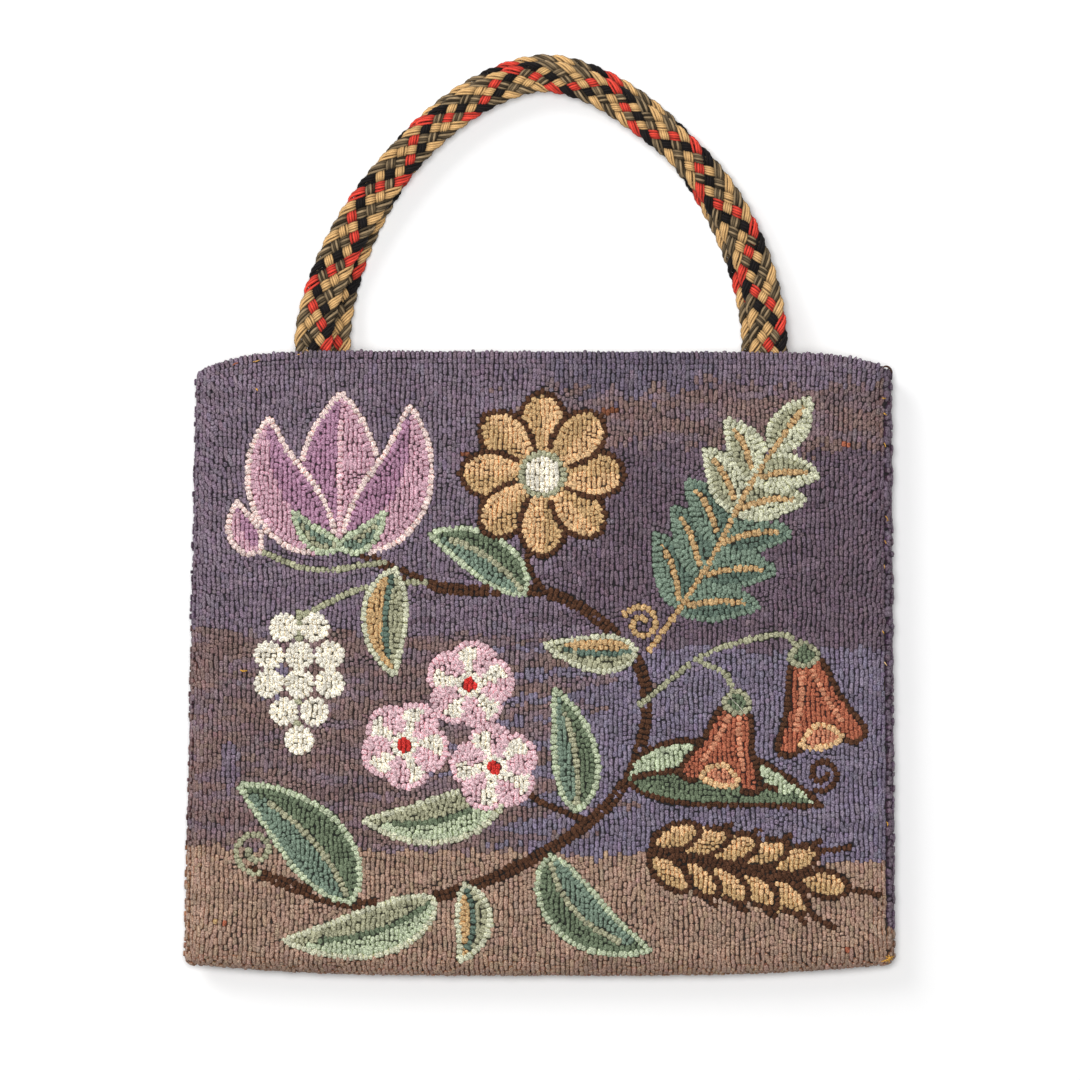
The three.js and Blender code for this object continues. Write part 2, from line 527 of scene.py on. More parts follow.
def make_piece(
    name: str,
    points: Array,
    faces: list[Array],
    material: Material,
    dyes: Array | None = None,
    corner_map: Array | None = None,
) -> bpy.types.Object:
    """Makes a smooth mesh object.

    Args:
        name: The piece's name.
        points: Its points in millimetres.
        faces: Rows of point numbers, an array for each number of corners.
        material: Its finish.
        dyes: A linear colour for each point, with painted shade in it where a piece's colours are darkened
            for shade, and where it has one its height on the loop, 0 to 1.
        corner_map: Places of the face corners on the bake map, in the faces' order.

    Returns:
        The object, linked to the scene.
    """
    mesh = bpy.data.meshes.new(name)
    mesh.vertices.add(len(points))
    mesh.vertices.foreach_set("co", (points * MM).astype(np.float32).ravel())
    corners = np.concatenate([rows.ravel() for rows in faces]).astype(np.int32)
    totals = np.concatenate([np.full(len(rows), rows.shape[1]) for rows in faces]).astype(np.int32)
    mesh.loops.add(len(corners))
    mesh.loops.foreach_set("vertex_index", corners)
    mesh.polygons.add(len(totals))
    mesh.polygons.foreach_set("loop_start", (np.cumsum(totals) - totals).astype(np.int32))
    mesh.polygons.foreach_set("loop_total", totals)
    if dyes is not None:
        layer = mesh.attributes.new(DYE_AND_SHADE_LAYER, "FLOAT_COLOR", "POINT")
        rows = np.hstack([dyes, np.ones((len(dyes), 1))])[:, :4].astype(np.float32)
        layer.data.foreach_set("color", rows.ravel())
    if corner_map is not None:
        mesh.uv_layers.new(name=BAKE_MAP).data.foreach_set("uv", corner_map.astype(np.float32).ravel())
    mesh.update(calc_edges=True)
    mesh.polygons.foreach_set("use_smooth", np.ones(len(totals), bool))
    mesh.materials.append(material)
    piece = bpy.data.objects.new(name, mesh)
    bpy.context.scene.collection.objects.link(piece)
    return piece


def settle(piece: bpy.types.Object, node: str) -> None:
    """Sets a piece on the body, in place of a node.

    Args:
        piece: The piece.
        node: The CAD node that it stands for.
    """
    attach(piece, BODY)
    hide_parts(node)
    LOG.info("%s: %d faces", piece.name, len(piece.data.polygons))


@dataclass(frozen=True)
class BagForm:
    """The bag's outline and thickness, as the part's source gives them."""

    height: float = 250.0
    width_at_mouth: float = 278.0
    width_at_base: float = 284.0
    handles_above_mouth: float = 119.0
    mouth_shift: float = 1.8
    base_corner_radius: float = 4.0
    base_bow: float = 4.6
    base_bow_power: float = 3.5
    mouth_slope: float = 1.0
    left_drop: float = 9.0
    left_power: float = 9.0
    right_drop: float = 7.5
    right_power: float = 11.0
    mouth_lip: float = 1.0
    wall: float = 4.6
    edge_roll: float = 10.0
    seam_level: float = 8.0
    crown_at_base: float = 16.5
    crown_at_mouth: float = 17.6
    gap: float = 0.3
    left_seam: float = math.radians(-25.0)
    right_seam: float = math.radians(48.0)
    seam_split: float = math.radians(1.6)
    tab_length: float = 24.0
    tab_bulge: float = 3.5
    bulge_flat: float = 13.0
    bulge_fade: float = 27.0
    bulge_run: float = 95.0
    bulge_middles: Pair = (-87.0, 90.0)

    @property
    def base_y(self) -> float:
        """Level of the base."""
        return -(self.height + self.handles_above_mouth) / 2

    @property
    def mouth_y(self) -> float:
        """Level of the mouth."""
        return self.base_y + self.height

    def half_width(self, y: Array) -> Array:
        """Half the bag's width, with the base's round corners.

        Args:
            y: Levels.

        Returns:
            Half the width at each level.
        """
        above = y - self.base_y
        widening = self.width_at_mouth - self.width_at_base
        straight = (self.width_at_base + widening * above / self.height) / 2
        short = np.clip(self.base_corner_radius - above, 0.0, self.base_corner_radius)
        return straight - self.base_corner_radius + np.sqrt(self.base_corner_radius**2 - short**2)

    def base_rise(self, share: Array) -> Array:
        """Rise of the base's edge at a share of the half width."""
        return self.base_bow * np.abs(share) ** self.base_bow_power

    def mouth_level(self, share: Array) -> Array:
        """Level of the mouth's edge.

        Args:
            share: Shares of the half width, negative on the left.

        Returns:
            The level at each share.
        """
        left = self.left_drop * np.abs(share) ** self.left_power
        right = self.right_drop * np.abs(share) ** self.right_power
        fall = np.where(share < 0, left, right)
        return self.mouth_y - self.mouth_lip - fall - self.mouth_slope * (1 + share) / 2

    def crown(self, x: Array, y: Array) -> Array:
        """Height of the front's outer face away from its rolled edges.

        Args:
            x: Places across.
            y: Levels.

        Returns:
            The heights.
        """
        up = (y - self.base_y) / self.height
        plain = self.crown_at_base + (self.crown_at_mouth - self.crown_at_base) * up
        near = smoothstep(y, self.mouth_y - self.bulge_run, self.mouth_y - self.tab_length - self.gap)
        over = [
            1 - smoothstep(np.abs(x - middle) - self.bulge_flat, 0.0, self.bulge_fade)
            for middle in self.bulge_middles
        ]
        return plain + self.tab_bulge * near * np.maximum(*over)


class Facing(Enum):
    """The side of the bag that a panel makes, as the sign of its outward height."""

    FRONT = 1
    BACK = -1


@dataclass(frozen=True)
class PanelFace:
    """A panel's outer face, reached by places on the flat cloth.

    across runs from the middle to both side seams, along from the base seam over the mouth's lip.
    """

    form: BagForm
    facing: Facing
    roll: float = 15.2
    lip: float = 6.0

    @property
    def flat(self) -> float:
        """Half the flat part's mean width."""
        return (self.form.width_at_base + self.form.width_at_mouth) / 4 - self.form.edge_roll

    @property
    def rise(self) -> float:
        """Length of the flat part, from the base's roll to the mouth."""
        return self.form.height - self.form.edge_roll

    @property
    def mouth(self) -> float:
        """Place along at which the lip begins."""
        return self.roll + self.rise

    def ends(self) -> Pair:
        """Places across of the left and the right seam."""
        sign, reach = self.facing.value, []
        for seam in (self.form.left_seam, self.form.right_seam):
            turn = QUARTER - (self.form.seam_split + sign * seam)
            reach.append(self.flat + self.roll * turn / QUARTER)
        return -reach[0], reach[1]

    def inset(self, turn: Array, depth: Array) -> Array:
        """How far a point on a rolled edge is from the outline, at a depth below the face."""
        return depth + (self.form.edge_roll - depth) * (1 - np.cos(turn))

    def at(self, across: Array, along: Array, depth: float = 0.0) -> Array:
        """Points of the panel.

        Args:
            across: Places across the cloth.
            along: Places along the cloth.
            depth: How far under the outer face.

        Returns:
            Points in millimetres, a row each.
        """
        form = self.form
        beyond = np.maximum(np.abs(across) - self.flat, 0.0)
        turn_across = QUARTER * (1 - beyond / self.roll)
        turn_along = QUARTER * np.clip(along / self.roll, 0.0, 1.0)
        share_along = np.clip((along - self.roll) / self.rise, 0.0, 1.0)
        over = np.clip((along - self.mouth) / self.lip, 0.0, 1.0) * math.pi
        deep = depth + (form.wall - 2 * depth) * (1 - np.cos(over)) / 2
        from_base = self.inset(turn_along, deep)
        low = form.base_y + from_base
        level = low + (form.mouth_y - low) * share_along
        half = form.half_width(level)
        rolled = np.sign(across) * (half - self.inset(turn_across, deep))
        x = np.where(beyond > 0, rolled, across / self.flat * (half - form.edge_roll))
        share = x / half
        low = low + form.base_rise(share)
        y = low + (form.mouth_level(share) - low) * share_along
        y = y + np.where(share_along >= 1, form.mouth_lip * np.sin(deep / form.wall * math.pi), 0.0)
        x = x + form.mouth_shift * (level - form.base_y) / form.height
        lift = np.sin(turn_across) * np.sin(turn_along) * self.facing.value
        start = form.seam_level + self.facing.value * form.gap / 2
        reach = np.where(lift > 0, form.crown(x, y) - deep - start, start - deep)
        return np.stack([x, y, start + reach * lift], 1)

    def frames(self, across: Array, along: Array) -> Arrays:
        """Points of the outer face with the directions across, along and outward there.

        Args:
            across: Places across the cloth.
            along: Places along the cloth.

        Returns:
            Points, then unit vectors across, along and outward.
        """
        nudge = 0.2
        sideways = unit(self.at(across + nudge, along) - self.at(across - nudge, along))
        onward = self.at(across, along + nudge) - self.at(across, along - nudge)
        outward = unit(np.cross(sideways, onward) * self.facing.value)
        onward = np.cross(outward, sideways) * self.facing.value
        return self.at(across, along), sideways, onward, outward

    def cloth_place(self, spots: Array) -> Array:
        """Places on the cloth under points of the flat face.

        Args:
            spots: Points seen from the front, x and y.

        Returns:
            Places across and along, a row each.
        """
        form = self.form
        x = spots[:, 0] - form.mouth_shift * (spots[:, 1] - form.base_y) / form.height
        half = form.half_width(spots[:, 1])
        low = form.base_y + form.edge_roll + form.base_rise(x / half)
        share = (spots[:, 1] - low) / (form.mouth_level(x / half) - low)
        inset = np.clip((half - np.abs(x)) / form.edge_roll, 0.0, 1.0)
        rolled = self.flat + self.roll * (1 - np.arccos(1 - inset) / QUARTER)
        across = np.where(inset < 1, np.sign(x) * rolled, x / (half - form.edge_roll) * self.flat)
        return np.stack([across, self.roll + share * self.rise], 1)


@dataclass
class Loops:
    """Hooked loops: places on the cloth, turn of the long axis, half sizes, stand and colour."""

    places: Array
    turn: Array
    half_length: Array
    half_width: Array
    stand: Array
    colour: Array

    def __len__(self) -> int:
        """How many loops there are."""
        return len(self.turn)

    def taken(self, keep: Array) -> Loops:
        """The loops that a mask or a list of numbers keeps."""
        return Loops(*[getattr(self, name)[keep] for name in self.__dataclass_fields__])

    def joined(self, other: Loops) -> Loops:
        """These loops followed by others."""
        pairs = [(getattr(self, name), getattr(other, name)) for name in self.__dataclass_fields__]
        return Loops(*[np.concatenate(pair) for pair in pairs])


@dataclass(frozen=True)
class LoopShape:
    """The small mesh of one loop: squarish rings under a crest.

    A ring has its shares of the half length and the half width, and its depth.
    """

    sides: int
    rings: tuple[Spot, ...]
    crest: tuple[float, ...]
    squareness: float = 3.2
    map_radii: Pair = (0.46, 0.24)
    map_crest: float = 0.1

    def ring(self) -> Array:
        """Points of one ring, between a circle and a square."""
        circle = ring_points(self.sides)
        return circle * (np.abs(circle) ** self.squareness).sum(1, keepdims=True) ** (-1 / self.squareness)

    def points(self) -> Array:
        """Points as shares of half length and half width, with their depths."""
        rows = [
            np.hstack([self.ring() * [along, across], np.full((self.sides, 1), depth)])
            for along, across, depth in self.rings
        ]
        return np.vstack([*rows, [[place, 0.0, 0.0] for place in self.crest]])

    def faces(self) -> list[Array]:
        """Quads of the walls and triangles of the crest."""
        ring = np.arange(self.sides)
        following = (ring + 1) % self.sides
        quads = tube_quads(len(self.rings), self.sides)[0]
        last = (len(self.rings) - 1) * self.sides
        top = last + self.sides
        if len(self.crest) == 1:
            fan = np.stack([last + ring, last + following, np.full(self.sides, top)], 1)
            return [quads, fan]
        quarter = self.sides // 4
        near = ((ring < quarter) | (ring >= 3 * quarter)).astype(int)
        fan = np.stack([last + ring, last + following, top + 1 - near], 1)
        caps = [[last + quarter, top + 1, top], [last + 3 * quarter, top, top + 1]]
        return [quads, np.vstack([fan, caps])]

    def flat_map(self) -> Array:
        """The points laid out flat, without overlap, in a unit square."""
        sizes = np.linspace(*self.map_radii, len(self.rings))
        rows = [0.5 + size * ring_points(self.sides) for size in sizes]
        crest = [[0.5 + self.map_crest * np.sign(place), 0.5] for place in self.crest]
        return np.vstack([*rows, crest])


FINE_LOOP = LoopShape(8, ((1.0, 1.0, -0.95), (0.95, 0.77, -0.16)), (0.66, -0.66))
PLAIN_LOOP = LoopShape(5, ((1.06, 1.06, -0.95), (0.98, 0.88, -0.2)), (0.0,))


@dataclass(frozen=True)
class Patch:
    """A filled shape of the picture, with a row of loops along its outline."""

    outline: Array
    fill: Dye
    edge: Dye | None = None


@dataclass(frozen=True)
class StitchRow:
    """Rows of loops side by side along a line of the picture."""

    line: Array
    dye: Dye
    rows: int = 1
    closed: bool = False


Stitch = Patch | StitchRow


class Motif(Protocol):
    """A part of the picture that can be hooked."""

    def stitches(self) -> list[Stitch]:
        """Its stitches, from the back to the front."""


def turned(points: Array, centre: Pair, degrees: float) -> Array:
    """Points turned about the origin, then moved to a centre.

    Args:
        points: Points about the origin.
        centre: Where the origin goes.
        degrees: The turn, counter-clockwise.

    Returns:
        The moved points.
    """
    angle = math.radians(degrees)
    cos, sin = math.cos(angle), math.sin(angle)
    return points @ np.array([[cos, sin], [-sin, cos]]) + np.array(centre)


@dataclass(frozen=True)
class Leaf:
    """A leaf or petal: a bent rib with a width that swells and closes along it."""

    root: Pair
    bend: Pair
    tip: Pair
    width: float
    fill: Dye
    shade: Dye | None = None
    edge: Dye | None = None
    rib: Dye | None = None
    lean: float = 0.8
    fullness: float = 0.8
    echo: float = 2.2
    echo_from_width: float = 12.5
    least_half: float = 0.6
    points: int = 17

    def line(self) -> Array:
        """Points of the rib."""
        share = np.linspace(0.0, 1.0, self.points)[:, None]
        root, bend, tip = (np.array(end, float) for end in (self.root, self.bend, self.tip))
        return root * (1 - share) ** 2 + 2 * bend * share * (1 - share) + tip * share**2

    def border(self, side: int, inset: float = 0.0) -> Array:
        """Points of one border, from root to tip.

        Args:
            side: 1 on the left and -1 on the right.
            inset: How far inside the border the line runs; where it would meet the rib, it ends.

        Returns:
            The line's points.
        """
        rib = self.line()
        heading = unit(np.gradient(rib, axis=0))
        share = np.linspace(0.0, 1.0, len(rib))
        half = self.width / 2 * np.sin(math.pi * share**self.lean) ** self.fullness - inset
        line = rib + side * half[:, None] * np.stack([-heading[:, 1], heading[:, 0]], 1)
        return line[half > self.least_half] if inset else line

    def stitches(self) -> list[Stitch]:
        """The leaf with its shaded half, a row inside its outline, the outline and the rib."""
        left, right, rib = self.border(1), self.border(-1), self.line()
        outline = np.vstack([left, right[-2:0:-1]])
        shade = self.shade or self.fill
        made: list[Stitch] = [Patch(outline, self.fill), Patch(np.vstack([rib, right[-2:0:-1]]), shade)]
        if self.width > self.echo_from_width:
            inner = [(self.border(1, self.echo), self.fill), (self.border(-1, self.echo), shade)]
            made += [StitchRow(line, dye) for line, dye in inner if len(line) > 4]
        made.append(StitchRow(outline, self.edge or self.fill, closed=True))
        if self.rib:
            made.append(StitchRow(rib[1:-3], self.rib))
        return made


@dataclass(frozen=True)
class Bloom:
    """A round flower of like petals about an eye."""

    centre: Pair
    petals: int
    reach: float
    width: float
    fill: Dye
    shade: Dye
    edge: Dye
    eye: Dye
    eye_edge: Dye
    eye_radius: float
    start: float = 90.0
    lean: float = 1.5
    fullness: float = 0.6
    rib_shares: Spot = (0.12, 0.56, 1.0)

    def stitches(self) -> list[Stitch]:
        """Petals all round, then the eye."""
        made: list[Stitch] = []
        for number in range(self.petals):
            angle = math.radians(self.start + number * 360.0 / self.petals)
            aim = np.array([math.cos(angle), math.sin(angle)]) * self.reach
            rib = [tuple(np.array(self.centre) + aim * share) for share in self.rib_shares]
            dyes = (self.fill, self.shade, self.edge)
            made += Leaf(*rib, self.width, *dyes, lean=self.lean, fullness=self.fullness).stitches()
        return made + disc(self.centre, self.eye_radius, self.eye, self.eye_edge)


def disc(centre: Pair, radius: float, fill: Dye, edge: Dye) -> list[Stitch]:
    """A round spot.

    Args:
        centre: Its middle.
        radius: Its radius.
        fill: The dye inside.
        edge: The dye of its rim.

    Returns:
        One patch.
    """
    return [Patch(ring_points(16) * radius + np.array(centre), fill, edge)]


def straight_rib(length: float, foot: Pair, heading: float) -> list[Pair]:
    """The ends and the middle of a straight rib.

    Args:
        length: Its length.
        foot: Its start.
        heading: Its direction in degrees.

    Returns:
        Start, middle and end.
    """
    rib = np.array([[0.0, 0.0], [0.5, 0.0], [1.0, 0.0]]) * length
    return [tuple(end) for end in turned(rib, foot, heading)]


def all_stitches(motifs: tuple[Motif, ...]) -> list[Stitch]:
    """The stitches of some motifs, one motif after the other."""
    return [stitch for motif in motifs for stitch in motif.stitches()]


@dataclass(frozen=True)
class Bell:
    """A hanging bell flower with a flared, scalloped mouth, pale ribs and a green cap."""

    top: Pair
    lean: float
    length: float = 40.0
    flare: float = 18.0

    def stitches(self) -> list[Stitch]:
        """Body, ribs, throat and cap."""
        size = np.array([self.flare, -self.length])
        half = [(0.0, 0.0), (0.36, 0.12), (0.6, 0.5), (1.0, 0.9), (0.66, 0.98), (0.3, 0.9)]
        left = [(-across, down) for across, down in half[:0:-1]]
        body = smooth_line(half + [(0.0, 1.0)] + left, closed=True, parts=5)
        throat = smooth_line([(0.0, 0.74), (0.46, 0.9), (0.0, 0.97), (-0.46, 0.9)], closed=True, parts=5)
        rib = smooth_line([(0.12, 0.2), (0.26, 0.45), (0.5, 0.74)])
        ribs = [rib * [side, 1] for side in (-1, 1)]
        cap = smooth_line([(0.0, -0.1), (0.32, 0.05), (0.0, 0.14), (-0.32, 0.05)], closed=True, parts=5)
        body, throat, cap, *ribs = (
            turned(part * size, self.top, self.lean) for part in (body, throat, cap, *ribs)
        )
        return [
            Patch(body, Dye.RUST, Dye.BARK),
            *[StitchRow(rib, Dye.RUST_PALE) for rib in ribs],
            Patch(throat, Dye.RUST_PALE, Dye.TAN),
            Patch(cap, Dye.LEAF_DEEP, Dye.SAGE),
        ]


@dataclass(frozen=True)
class BerryBunch:
    """Cream berries hanging in a tapering bunch."""

    top: Pair
    rows: tuple[int, ...] = (2, 3, 3, 2, 1)
    pitch: float = 12.2
    row_share: float = 0.92
    first_drop: float = 6.0
    stalk_share: float = 0.9
    stalk_lean: float = 1.0
    radius: float = 4.8

    def stitches(self) -> list[Stitch]:
        """A stalk down the bunch and the berries on it."""
        x, y = self.top
        depth = len(self.rows) * self.pitch * self.stalk_share
        stalk = np.array([[x, y], [x - self.stalk_lean, y - depth]])
        made: list[Stitch] = [StitchRow(stalk, Dye.SAGE)]
        for number, count in enumerate(self.rows):
            level = y - self.first_drop - number * self.pitch * self.row_share
            for place in range(count):
                spot = (x + (place - (count - 1) / 2) * self.pitch, level)
                made += disc(spot, self.radius, Dye.CREAM, Dye.CREAM)
        return made


@dataclass(frozen=True)
class LeafSpray:
    """A sprig of paired leaves that pale towards its tip."""

    knots: tuple[Pair, ...]
    pairs: int = 5
    length: float = 31.0
    width: float = 14.0
    opening: float = 48.0
    first_share: float = 0.2
    leafy_share: float = 0.72
    longest: float = 1.08
    shortening: float = 0.3
    bends: Pair = (-0.08, 0.06)

    def stitches(self) -> list[Stitch]:
        """Pairs of leaves from the foot up, a leaf at the tip, then the stalk."""
        stalk = spaced(smooth_line(list(self.knots)), 1.0)
        made: list[Stitch] = []
        for number in range(self.pairs + 1):
            share = self.first_share + self.leafy_share * number / self.pairs
            at = min(int(share * (len(stalk) - 1)), len(stalk) - 3)
            heading = math.degrees(math.atan2(*(stalk[at + 2] - stalk[at])[::-1]))
            pale = number > self.pairs / 2
            length = self.length * (self.longest - self.shortening * share)
            sides = (self.opening, -self.opening) if number < self.pairs else (0.0,)
            for side in sides:
                bend, tip = (side * share for share in self.bends)
                local = np.array([[0.0, 0.0], [length / 2, bend], [length, tip]])
                ends = [tuple(end) for end in turned(local, tuple(stalk[at]), heading + side)]
                made += Leaf(
                    *ends,
                    self.width,
                    Dye.SAGE if pale else Dye.TEAL,
                    shade=Dye.SAGE_PALE if pale else Dye.TEAL_DEEP,
                    edge=Dye.SAGE_PALE if pale else Dye.TEAL,
                    rib=Dye.OCHRE,
                ).stitches()
        made.append(StitchRow(stalk, Dye.OCHRE))
        return made


@dataclass(frozen=True)
class WheatEar:
    """An ear of grain: two-tone, brown-edged grains in pairs, each with a beard."""

    foot: Pair
    heading: float
    rows: int = 5
    grain: float = 21.0
    width: float = 10.5
    pitch: float = 12.0
    spread: float = 30.0
    beard: float = 12.0
    core_share: float = 1.4
    grain_shift: float = 2.0
    beard_bend: float = -2.5
    lean: float = 1.1
    fullness: float = 0.6

    def stitches(self) -> list[Stitch]:
        """Beards behind, a grain at the tip, then pairs of grains down to the foot."""
        beards: list[Stitch] = []
        core = straight_rib(self.rows * self.pitch, self.foot, self.heading)
        grains = Leaf(*core, self.width * self.core_share, Dye.BARK).stitches()
        for number in reversed(range(self.rows + 1)):
            for side in (1, -1) if number < self.rows else (0,):
                place = np.array([[number * self.pitch, side * self.grain_shift]])
                start = tuple(turned(place, self.foot, self.heading)[0])
                heading = self.heading + side * self.spread
                rib = straight_rib(self.grain, start, heading)
                tip = np.array([[self.grain, 0.0], [self.grain + self.beard, self.beard_bend * side]])
                beards.append(StitchRow(turned(tip, start, heading), Dye.BARK))
                dyes = (Dye.TAN, Dye.OCHRE, Dye.BARK)
                leaf = Leaf(*rib, self.width, *dyes, lean=self.lean, fullness=self.fullness)
                grains += leaf.stitches()
        return beards + grains


@dataclass(frozen=True)
class Tulip:
    """A cup of three pale-edged petals on a pair of sepals."""

    foot: Pair
    height: float = 60.0
    spread: float = 28.0
    middle_width: float = 31.0
    outer_width: float = 26.0
    sepal_width: float = 8.0

    def stitches(self) -> list[Stitch]:
        """The middle petal behind the two outer ones, then the sepals."""
        x, y = self.foot
        tall, wide = self.height, self.spread
        tip = (x + 1.0, y + tall)
        deep, mid, pale = Dye.LILAC_DEEP, Dye.LILAC, Dye.LILAC_PALE
        rib = (self.foot, (x, y + tall / 2), tip)
        made = Leaf(*rib, self.middle_width, deep, mid, pale, Dye.PINK, lean=0.9).stitches()
        for side, top, dyes in ((-1, 0.84, (mid, deep)), (1, 0.92, (deep, mid))):
            tip = (x + side * wide, y + tall * top)
            bend = (x + side * wide * 1.15, y + tall * 0.3)
            rib = ((x + side * 2.0, y - 1.0), bend, tip)
            made += Leaf(*rib, self.outer_width, *dyes, pale, lean=0.75).stitches()
        for side in (-1, 1):
            rib = (self.foot, (x + side * 10.0, y - 2.0), (x + side * 18.0, y + 13.0))
            made += Leaf(*rib, self.sepal_width, Dye.SAGE, Dye.TEAL, Dye.MINT).stitches()
        return made


@dataclass(frozen=True)
class Tendril:
    """A thin curling shoot."""

    start: Pair
    heading: float
    radius: float = 9.0
    turns: float = 1.3
    hand: int = 1
    dye: Dye = Dye.SAGE
    winding: float = 0.72
    points: int = 60

    def stitches(self) -> list[Stitch]:
        """One row of loops that winds inwards."""
        share = np.linspace(0.0, 1.0, self.points)
        angle = share * self.turns * math.tau
        reach = self.radius * (1 - self.winding * share)
        curl = np.stack([reach * np.sin(angle), self.hand * (self.radius - reach * np.cos(angle))], 1)
        return [StitchRow(turned(curl, self.start, self.heading), self.dye)]


@dataclass(frozen=True)
class MeadowPicture:
    """A winding stem with common garden flowers, leaves, berries and grain."""

    stem: tuple[Pair, ...] = (
        (-116.0, -142.0),
        (-68.0, -156.0),
        (-14.0, -143.0),
        (32.0, -110.0),
        (41.0, -64.0),
        (8.0, -33.0),
        (-40.0, -29.0),
        (-78.0, -12.0),
    )

    def twigs(self) -> list[Stitch]:
        """The main stem, the side stems and the curling shoots."""
        side_stems = (
            ((2.0, -31.0), (-5.0, -18.0), (0.0, 4.0)),
            ((40.0, -76.0), (66.0, -56.0), (96.0, -48.0), (104.0, -57.0)),
            ((62.0, -58.0), (74.0, -64.0), (78.0, -76.0)),
            ((-46.0, -27.0), (-70.0, -29.0), (-94.0, -40.0)),
            ((18.0, -122.0), (-4.0, -112.0), (-24.0, -92.0)),
            ((-62.0, -19.0), (-90.0, -22.0), (-114.0, -14.0)),
        )
        dyes = (Dye.BARK, Dye.SAGE, Dye.SAGE, Dye.SAGE, Dye.BARK, Dye.SAGE)
        curls = (
            Tendril((60.0, -24.0), 120.0, 8.0, hand=-1),
            Tendril((-112.0, -143.0), 190.0, 9.0, hand=-1),
            Tendril((110.0, -110.0), -20.0, 7.0, dye=Dye.BARK),
            Tendril((34.0, -40.0), 60.0, 7.5, hand=-1, dye=Dye.OCHRE),
        )
        made: list[Stitch] = [StitchRow(smooth_line(list(self.stem)), Dye.BARK, rows=2)]
        made += [StitchRow(smooth_line(list(knots)), dye) for knots, dye in zip(side_stems, dyes)]
        return made + all_stitches(curls)

    def leaves(self) -> list[Stitch]:
        """The broad leaves along the stem."""
        deep = (Dye.TEAL, Dye.LEAF_DEEP, Dye.MINT, Dye.SAGE)
        pale = (Dye.MINT, Dye.SAGE, Dye.SAGE_PALE, Dye.LEAF_DEEP)
        gold = (Dye.SAGE, Dye.OCHRE, Dye.SAGE_PALE, Dye.TEAL_DEEP)
        dark = (Dye.MINT, Dye.LEAF_DEEP, Dye.BARK, Dye.BARK)
        broad = (
            Leaf((-76.0, -155.0), (-86.0, -126.0), (-120.0, -108.0), 25.0, *deep),
            Leaf((-42.0, -153.0), (-62.0, -172.0), (-102.0, -170.0), 19.0, *pale),
            Leaf((4.0, -136.0), (8.0, -166.0), (44.0, -174.0), 21.0, *deep),
            Leaf((34.0, -106.0), (62.0, -96.0), (112.0, -116.0), 25.0, *dark),
            Leaf((-6.0, -32.0), (-20.0, -12.0), (-44.0, -8.0), 17.0, *deep),
            Leaf((-58.0, -22.0), (-66.0, -44.0), (-58.0, -64.0), 17.0, *gold),
            Leaf((14.0, -118.0), (18.0, -96.0), (6.0, -70.0), 17.0, *deep),
            Leaf((-14.0, -110.0), (-38.0, -128.0), (-70.0, -122.0), 18.0, *pale),
            Leaf((38.0, -54.0), (26.0, -58.0), (2.0, -52.0), 14.0, *gold),
            Leaf((-30.0, -148.0), (-22.0, -164.0), (-32.0, -178.0), 13.0, *gold),
        )
        return all_stitches(broad)

    def flowers(self) -> list[Stitch]:
        """The flowers, berries and grain."""
        rosette = (5, 17.0, 15.5, Dye.CREAM, Dye.PINK, Dye.PINK, Dye.RED, Dye.CREAM, 4.2)
        daisy = (8, 33.0, 18.5, Dye.OCHRE, Dye.TAN, Dye.BARK, Dye.CREAM, Dye.SAGE, 8.5)
        bud = (Dye.LILAC, Dye.LILAC_DEEP, Dye.LILAC_PALE)
        motifs = (
            LeafSpray(((44.0, -54.0), (66.0, -22.0), (84.0, 12.0), (98.0, 33.0))),
            Tulip((-80.0, -12.0)),
            Leaf((-112.0, -15.0), (-120.0, -8.0), (-121.0, 5.0), 12.0, *bud),
            Bloom((1.0, 16.0), *daisy, lean=1.3),
            Bell((79.0, -74.0), -13.0, 36.0, 16.5),
            Bell((105.0, -55.0), 12.0),
            BerryBunch((-96.0, -39.0)),
            WheatEar((44.0, -134.0), -11.0),
            Bloom((-28.0, -68.0), *rosette, start=80.0),
            Bloom((-54.0, -92.0), *rosette, start=60.0),
            Bloom((-18.0, -101.0), *rosette, start=100.0),
        )
        return all_stitches(motifs)

    def stitches(self) -> list[Stitch]:
        """The whole picture, from the back to the front."""
        return self.twigs() + self.leaves() + self.flowers()


@dataclass(frozen=True)
class DyeBand:
    """A stretch of ground hooked from one dyed batch: levels, side and dye."""

    top: float
    foot: float
    side: int
    dye: Dye


@dataclass(frozen=True)
class DyeSpot:
    """A spot of ground hooked from another batch: its middle, half sizes and dye."""

    middle: Pair
    half_size: Pair
    dye: Dye


